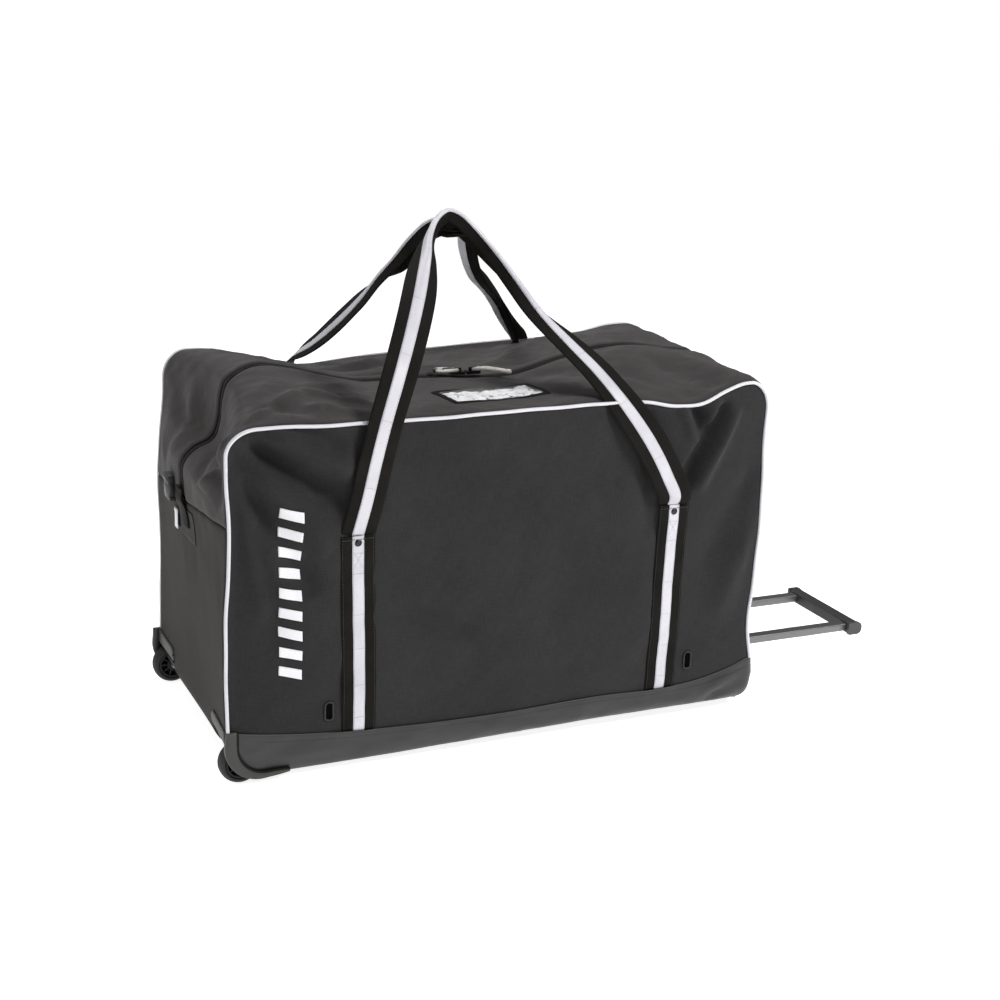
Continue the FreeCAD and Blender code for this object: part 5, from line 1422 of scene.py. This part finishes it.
def wheel_end_fittings():
    """Sewn patch, buckle with its strap, and a blank tag on the wheel end."""
    low, high = span("end_patch")
    y = np.linspace(low[1], high[1], 26)
    z = np.linspace(low[2], high[2], 16)
    zz, yy = np.meshgrid(z, y, indexing="ij")
    s = run_at_wheel_end(zz)
    points = on_skin(s, yy, 1.6)
    sheet("end_patch_cloth", points, np.stack([yy, zz], -1), PATCH, thick=1.2, slot="patch_fabric",
          stands_for=("end_patch",))
    border = [(low[1] + 2, low[2] + 2), (high[1] - 2, low[2] + 2), (high[1] - 2, high[2] - 2),
              (low[1] + 2, high[2] - 2), (low[1] + 2, low[2] + 2)]
    put("end_patch_stitches", end_outline(border, 24, 1.7, 4.0, 2.8), THREAD, "patch_fabric")

    def buckle_part(node, name, material, slot, body, blocks, lift, swell_x=1.0):
        """Rounded blocks between the node's corners: each is low x, y, z, high x, y, z and rounding."""
        lo, hi = span(node)
        skin_x = skin(run_at_wheel_end((lo[2] + hi[2]) / 2), (lo[1] + hi[1]) / 2)[0]
        shift = np.array([skin_x - lift - hi[0], 0, 0])
        swell = np.array([swell_x, 1.0, 1.0])
        corner = np.array([hi[0], 0, 0])
        parts = []
        for x0, y0, z0, x1, y1, z1, r in blocks(lo, hi):
            a, b = np.array([x0, y0, z0]), np.array([x1, y1, z1])
            parts.append(block((a - corner) * swell + corner + shift,
                               (b - corner) * swell + corner + shift, r, 4))
        put(name, parts, material, slot, (node,), body)

    def strap_blocks(lo, hi):
        yield hi[0] - 2.2, lo[1], lo[2], hi[0], hi[1], hi[2], 0.9
        yield hi[0] - 4.0, lo[1] + 1, lo[2] + 2, hi[0] - 2.0, hi[1] - 1, lo[2] + 20, 0.9

    def socket_blocks(lo, hi):
        yield lo[0] + 0.4, lo[1] + 1.5, lo[2] + 5, hi[0], hi[1] - 1.5, hi[2] - 1, 2.2
        yield lo[0] + 1.2, lo[1], lo[2], hi[0], hi[1], lo[2] + 6, 1.6
        yield lo[0], lo[1] + 9, lo[2] + 9, lo[0] + 2, hi[1] - 9, hi[2] - 6, 0.8

    def plug_blocks(lo, hi):
        mid_z = lo[2] + (hi[2] - lo[2]) * 0.55
        yield lo[0] + 0.6, lo[1] + 1, mid_z, hi[0], hi[1] - 1, hi[2], 2.0
        for y0 in (lo[1] + 0.5, (lo[1] + hi[1]) / 2 - 1.6, hi[1] - 4.2):
            yield lo[0] + 2, y0, lo[2], hi[0] - 1.4, y0 + 3.4, mid_z + 2, 1.0
        yield lo[0] - 0.2, lo[1] + 5, mid_z + 3, lo[0] + 1.4, hi[1] - 5, hi[2] - 3, 0.6

    def tag_blocks(lo, hi):
        yield hi[0] - 1.4, lo[1], lo[2], hi[0], hi[1], hi[2], 0.6
        yield hi[0] - 2.2, lo[1] + 1, hi[2] - 6, hi[0] - 1.0, hi[1] - 1, hi[2] - 1, 0.5

    buckle_part("buckle_strap", "buckle_strap_web", BLACK_WEB, "black_webbing", "bag", strap_blocks, 0.6)
    buckle_part("buckle_socket", "buckle_socket_shell", PLASTIC, "black_plastic", "bag",
                socket_blocks, 2.4, 1.6)
    buckle_part("buckle_plug", "buckle_plug_shell", PLASTIC, "black_plastic", "plug",
                plug_blocks, 2.6, 1.6)
    buckle_part("blank_tag", "blank_tag_cloth", STRIPE, "blank_tag", "bag", tag_blocks, 4.8)


wheel_end_fittings()


def zip_end_tab():
    """Webbing tab folded over the lower end of the zipper and sewn to the wheel end."""
    y_half, z_low, z_high = 15.0, 318.0, 376.0
    y = np.linspace(-y_half, y_half, 12)
    z = np.linspace(z_low, z_high, 26)
    zz, yy = np.meshgrid(z, y, indexing="ij")
    s = run_at_wheel_end(zz)
    puff = 3.0 + 3.2 * np.exp(-((zz - z_high + 14) / 9) ** 2) + 0.8 * np.cos(yy / 15 * math.pi / 2)
    points = skin(s, yy) + skin_normal(s, yy) * puff[..., None]
    sheet("zip_end_tab", points, np.stack([zz, yy], -1), BLACK_WEB, thick=2.2, slot="black_webbing")
    corners = [(-11, z_low + 4), (11, z_low + 4), (11, z_low + 26), (-11, z_low + 26),
               (-11, z_low + 4), (11, z_low + 26)]
    put("zip_end_stitches", end_outline(corners, 12, 3.9, 3.6, 2.5), THREAD, "black_webbing")


zip_end_tab()


def end_handle():
    """Webbing grab handle on the handle end: two sewn feet and a raised middle."""
    low, high = span("end_grab_handle")
    y = np.linspace(low[1], high[1], 90)
    z_mid = (low[2] + high[2]) / 2
    rise = high[0] - low[0] - 3.2
    raised_half, ramp = HALF_LENGTH * 0.2, 34
    share = np.clip((raised_half - np.abs(y)) / ramp, 0, 1)
    lift = 1.4 + rise * eased(share) * (0.92 + 0.08 * np.cos(y / 30))
    centres = skin(run_at_handle_end(z_mid) + 0 * y, y) + np.array([1.0, 0, 0]) * lift[:, None]
    width = (high[2] - low[2]) / 2
    w = np.linspace(-width, width, 15)
    faces = [[centres + np.array([face * (1.0 - 0.8 * (abs(x) / width) ** 4), 0, x]) for x in w]
             for face in (1, -1)]
    put("end_handle_strap", [strip(*faces, y, w)], BLACK_WEB, "black_webbing", ("end_grab_handle",))
    rows = []
    for foot in (-1, 1):
        inner, outer = foot * (high[1] - 26), foot * (high[1] - 4)
        corners = [(inner, -width + 4), (outer, -width + 4), (outer, width - 4), (inner, width - 4),
                   (inner, -width + 4), (outer, width - 4)]
        for (y0, w0), (y1, w1) in zip(corners, corners[1:]):
            t = np.linspace(0, 1, 16)
            ly = y0 + (y1 - y0) * t
            lx = np.interp(ly, y, centres[:, 0]) + 1.2
            line = np.stack([lx, ly, z_mid + w0 + (w1 - w0) * t], -1)
            rows.append(stitches(line, np.tile([1.0, 0, 0], (16, 1)), 3.6, 2.6, 0.45, 0.4))
    put("end_handle_stitches", rows, GREY_THREAD, "black_webbing")


end_handle()


# ---------------------------------------------------------------- wheels

def wheel(label):
    """Tyre with a rounded tread and grooves, and a spoked hub."""
    low, high = span(f"tyre_{label}")
    centre = (low + high) / 2
    radius, half = (high[2] - low[2]) / 2, (high[1] - low[1]) / 2
    inner = radius - 8.5
    profile = []
    for t in np.linspace(-1, 1, 17):
        crown = radius - 2.6 * abs(t) ** 3
        groove = 0.7 if min(abs(abs(t) - 0.34), abs(abs(t) - 0.3)) < 0.05 else 0.0
        profile.append((crown - groove, t * (half - 1.4)))
    profile += [(radius - 4.2, half - 0.2), (radius - 6.0, half), (inner + 0.3, half - 1.4),
                (inner, half - 3), (inner, -half + 3), (inner + 0.3, -half + 1.4),
                (radius - 6.0, -half), (radius - 4.2, -half + 0.2)]
    put(f"tyre_{label}_tread", [turned(profile, centre, 72)], TYRE, "tyre", (f"tyre_{label}",),
        f"wheel_{label}")
    bore = 4.4
    rim = [(inner - 0.15, -half + 1.6), (inner - 0.15, half - 1.6), (inner - 1.0, half - 0.8),
           (inner - 2.6, half - 1.0), (inner - 3.2, half - 3.0), (inner - 3.4, 0),
           (inner - 3.2, -half + 3.0), (inner - 2.6, -half + 1.0), (inner - 1.0, -half + 0.8)]
    boss = [(bore, -half + 1), (bore, half - 1), (8.0, half - 0.4), (9.4, half - 1.6), (9.6, 0),
            (9.4, -half + 1.6), (8.0, -half + 0.4)]
    parts = [turned(rim, centre, 60), turned(boss, centre, 40),
             turned([(9.0, -1.2), (9.0, 1.2), (inner - 3.0, 1.2), (inner - 3.0, -1.2)], centre, 40)]
    spokes = 10
    for k in range(spokes):
        angle = 2 * math.pi * k / spokes
        x_axis = np.array([math.cos(angle), 0, math.sin(angle)])
        z_axis = np.array([-math.sin(angle), 0, math.cos(angle)])
        spoke = block((8.6, -half + 2.4, -1.0), (inner - 2.4, half - 2.4, 1.0), 0.8, 2)
        parts.append(place(spoke, centre, x_axis, (0, 1, 0), z_axis))
    put(f"hub_{label}_spokes", parts, HUB, "hub_plastic", (f"wheel_hub_{label}",), f"wheel_{label}")


wheel("front")
wheel("rear")


# ---------------------------------------------------------------- stage, light and camera

def stage():
    """Pale floor with a very faint mottle, soft studio light and the viewing angle."""
    floor_size = 18000.0
    bpy.ops.mesh.primitive_plane_add(size=floor_size * MM, location=(0, 0, 0))
    floor = bpy.context.object
    floor.name = "studio_floor"
    p = Paint("studio floor")
    speck = p.noise(3.0, 2)
    floor.data.materials.append(p.set(Base_Color=p.mix(speck, grey(0.93), grey(0.95)),
                                      Roughness=0.9, Specular_IOR_Level=0.1,
                                      Emission_Color=(1, 1, 1), Emission_Strength=0.84))
    world = bpy.data.worlds.new("studio")
    bpy.context.scene.world = world
    world.use_nodes = True
    tree = world.node_tree
    tree.nodes["Background"].inputs["Color"].default_value = (1, 1, 1, 1)
    seen = tree.nodes.new("ShaderNodeLightPath")
    strength = tree.nodes.new("ShaderNodeMapRange")
    strength.inputs["To Min"].default_value = 0.16
    strength.inputs["To Max"].default_value = 1.0
    tree.links.new(seen.outputs["Is Camera Ray"], strength.inputs["Value"])
    tree.links.new(strength.outputs["Result"], tree.nodes["Background"].inputs["Strength"])
    target = np.array([30, 0, 280.0]) * MM

    def softbox(name, place_mm, size, power):
        data = bpy.data.lights.new(name, "AREA")
        data.shape = "SQUARE"
        data.size = size
        data.energy = power
        lamp = bpy.data.objects.new(name, data)
        bpy.context.scene.collection.objects.link(lamp)
        lamp.location = np.array(place_mm) * MM
        lamp.rotation_euler = (Vector(target) - lamp.location).to_track_quat("-Z", "Y").to_euler()

    softbox("key", (1500, -1900, 2400), 0.9, 76)
    softbox("side", (-2900, -300, 1500), 1.4, 14)
    softbox("top", (-300, 1200, 2500), 1.4, 34)

    azimuth, elevation, roll = math.radians(-25.2), math.radians(16.8), math.radians(2.4)
    distance, aim = 2558.2, np.array([33.4, -72.1, 335.9])
    toward = np.array([math.sin(azimuth) * math.cos(elevation), -math.cos(azimuth) * math.cos(elevation),
                       math.sin(elevation)])
    right = np.array([math.cos(azimuth), math.sin(azimuth), 0.0])
    up = np.cross(toward, right)
    turned_right = math.cos(roll) * right + math.sin(roll) * up
    turned_up = -math.sin(roll) * right + math.cos(roll) * up
    camera_data = bpy.data.cameras.new("view")
    camera_data.sensor_width = 36.0
    camera_data.lens = 61.2
    camera_data.clip_start = 0.05
    camera = bpy.data.objects.new("view", camera_data)
    bpy.context.scene.collection.objects.link(camera)
    place_m = (aim + toward * distance) * MM
    rotation = Matrix(np.array([turned_right, turned_up, toward]).T.tolist()).to_4x4()
    camera.matrix_world = Matrix.Translation(place_m.tolist()) @ rotation
    bpy.context.scene.camera = camera
    bpy.context.scene.view_settings.view_transform = "Standard"


stage()
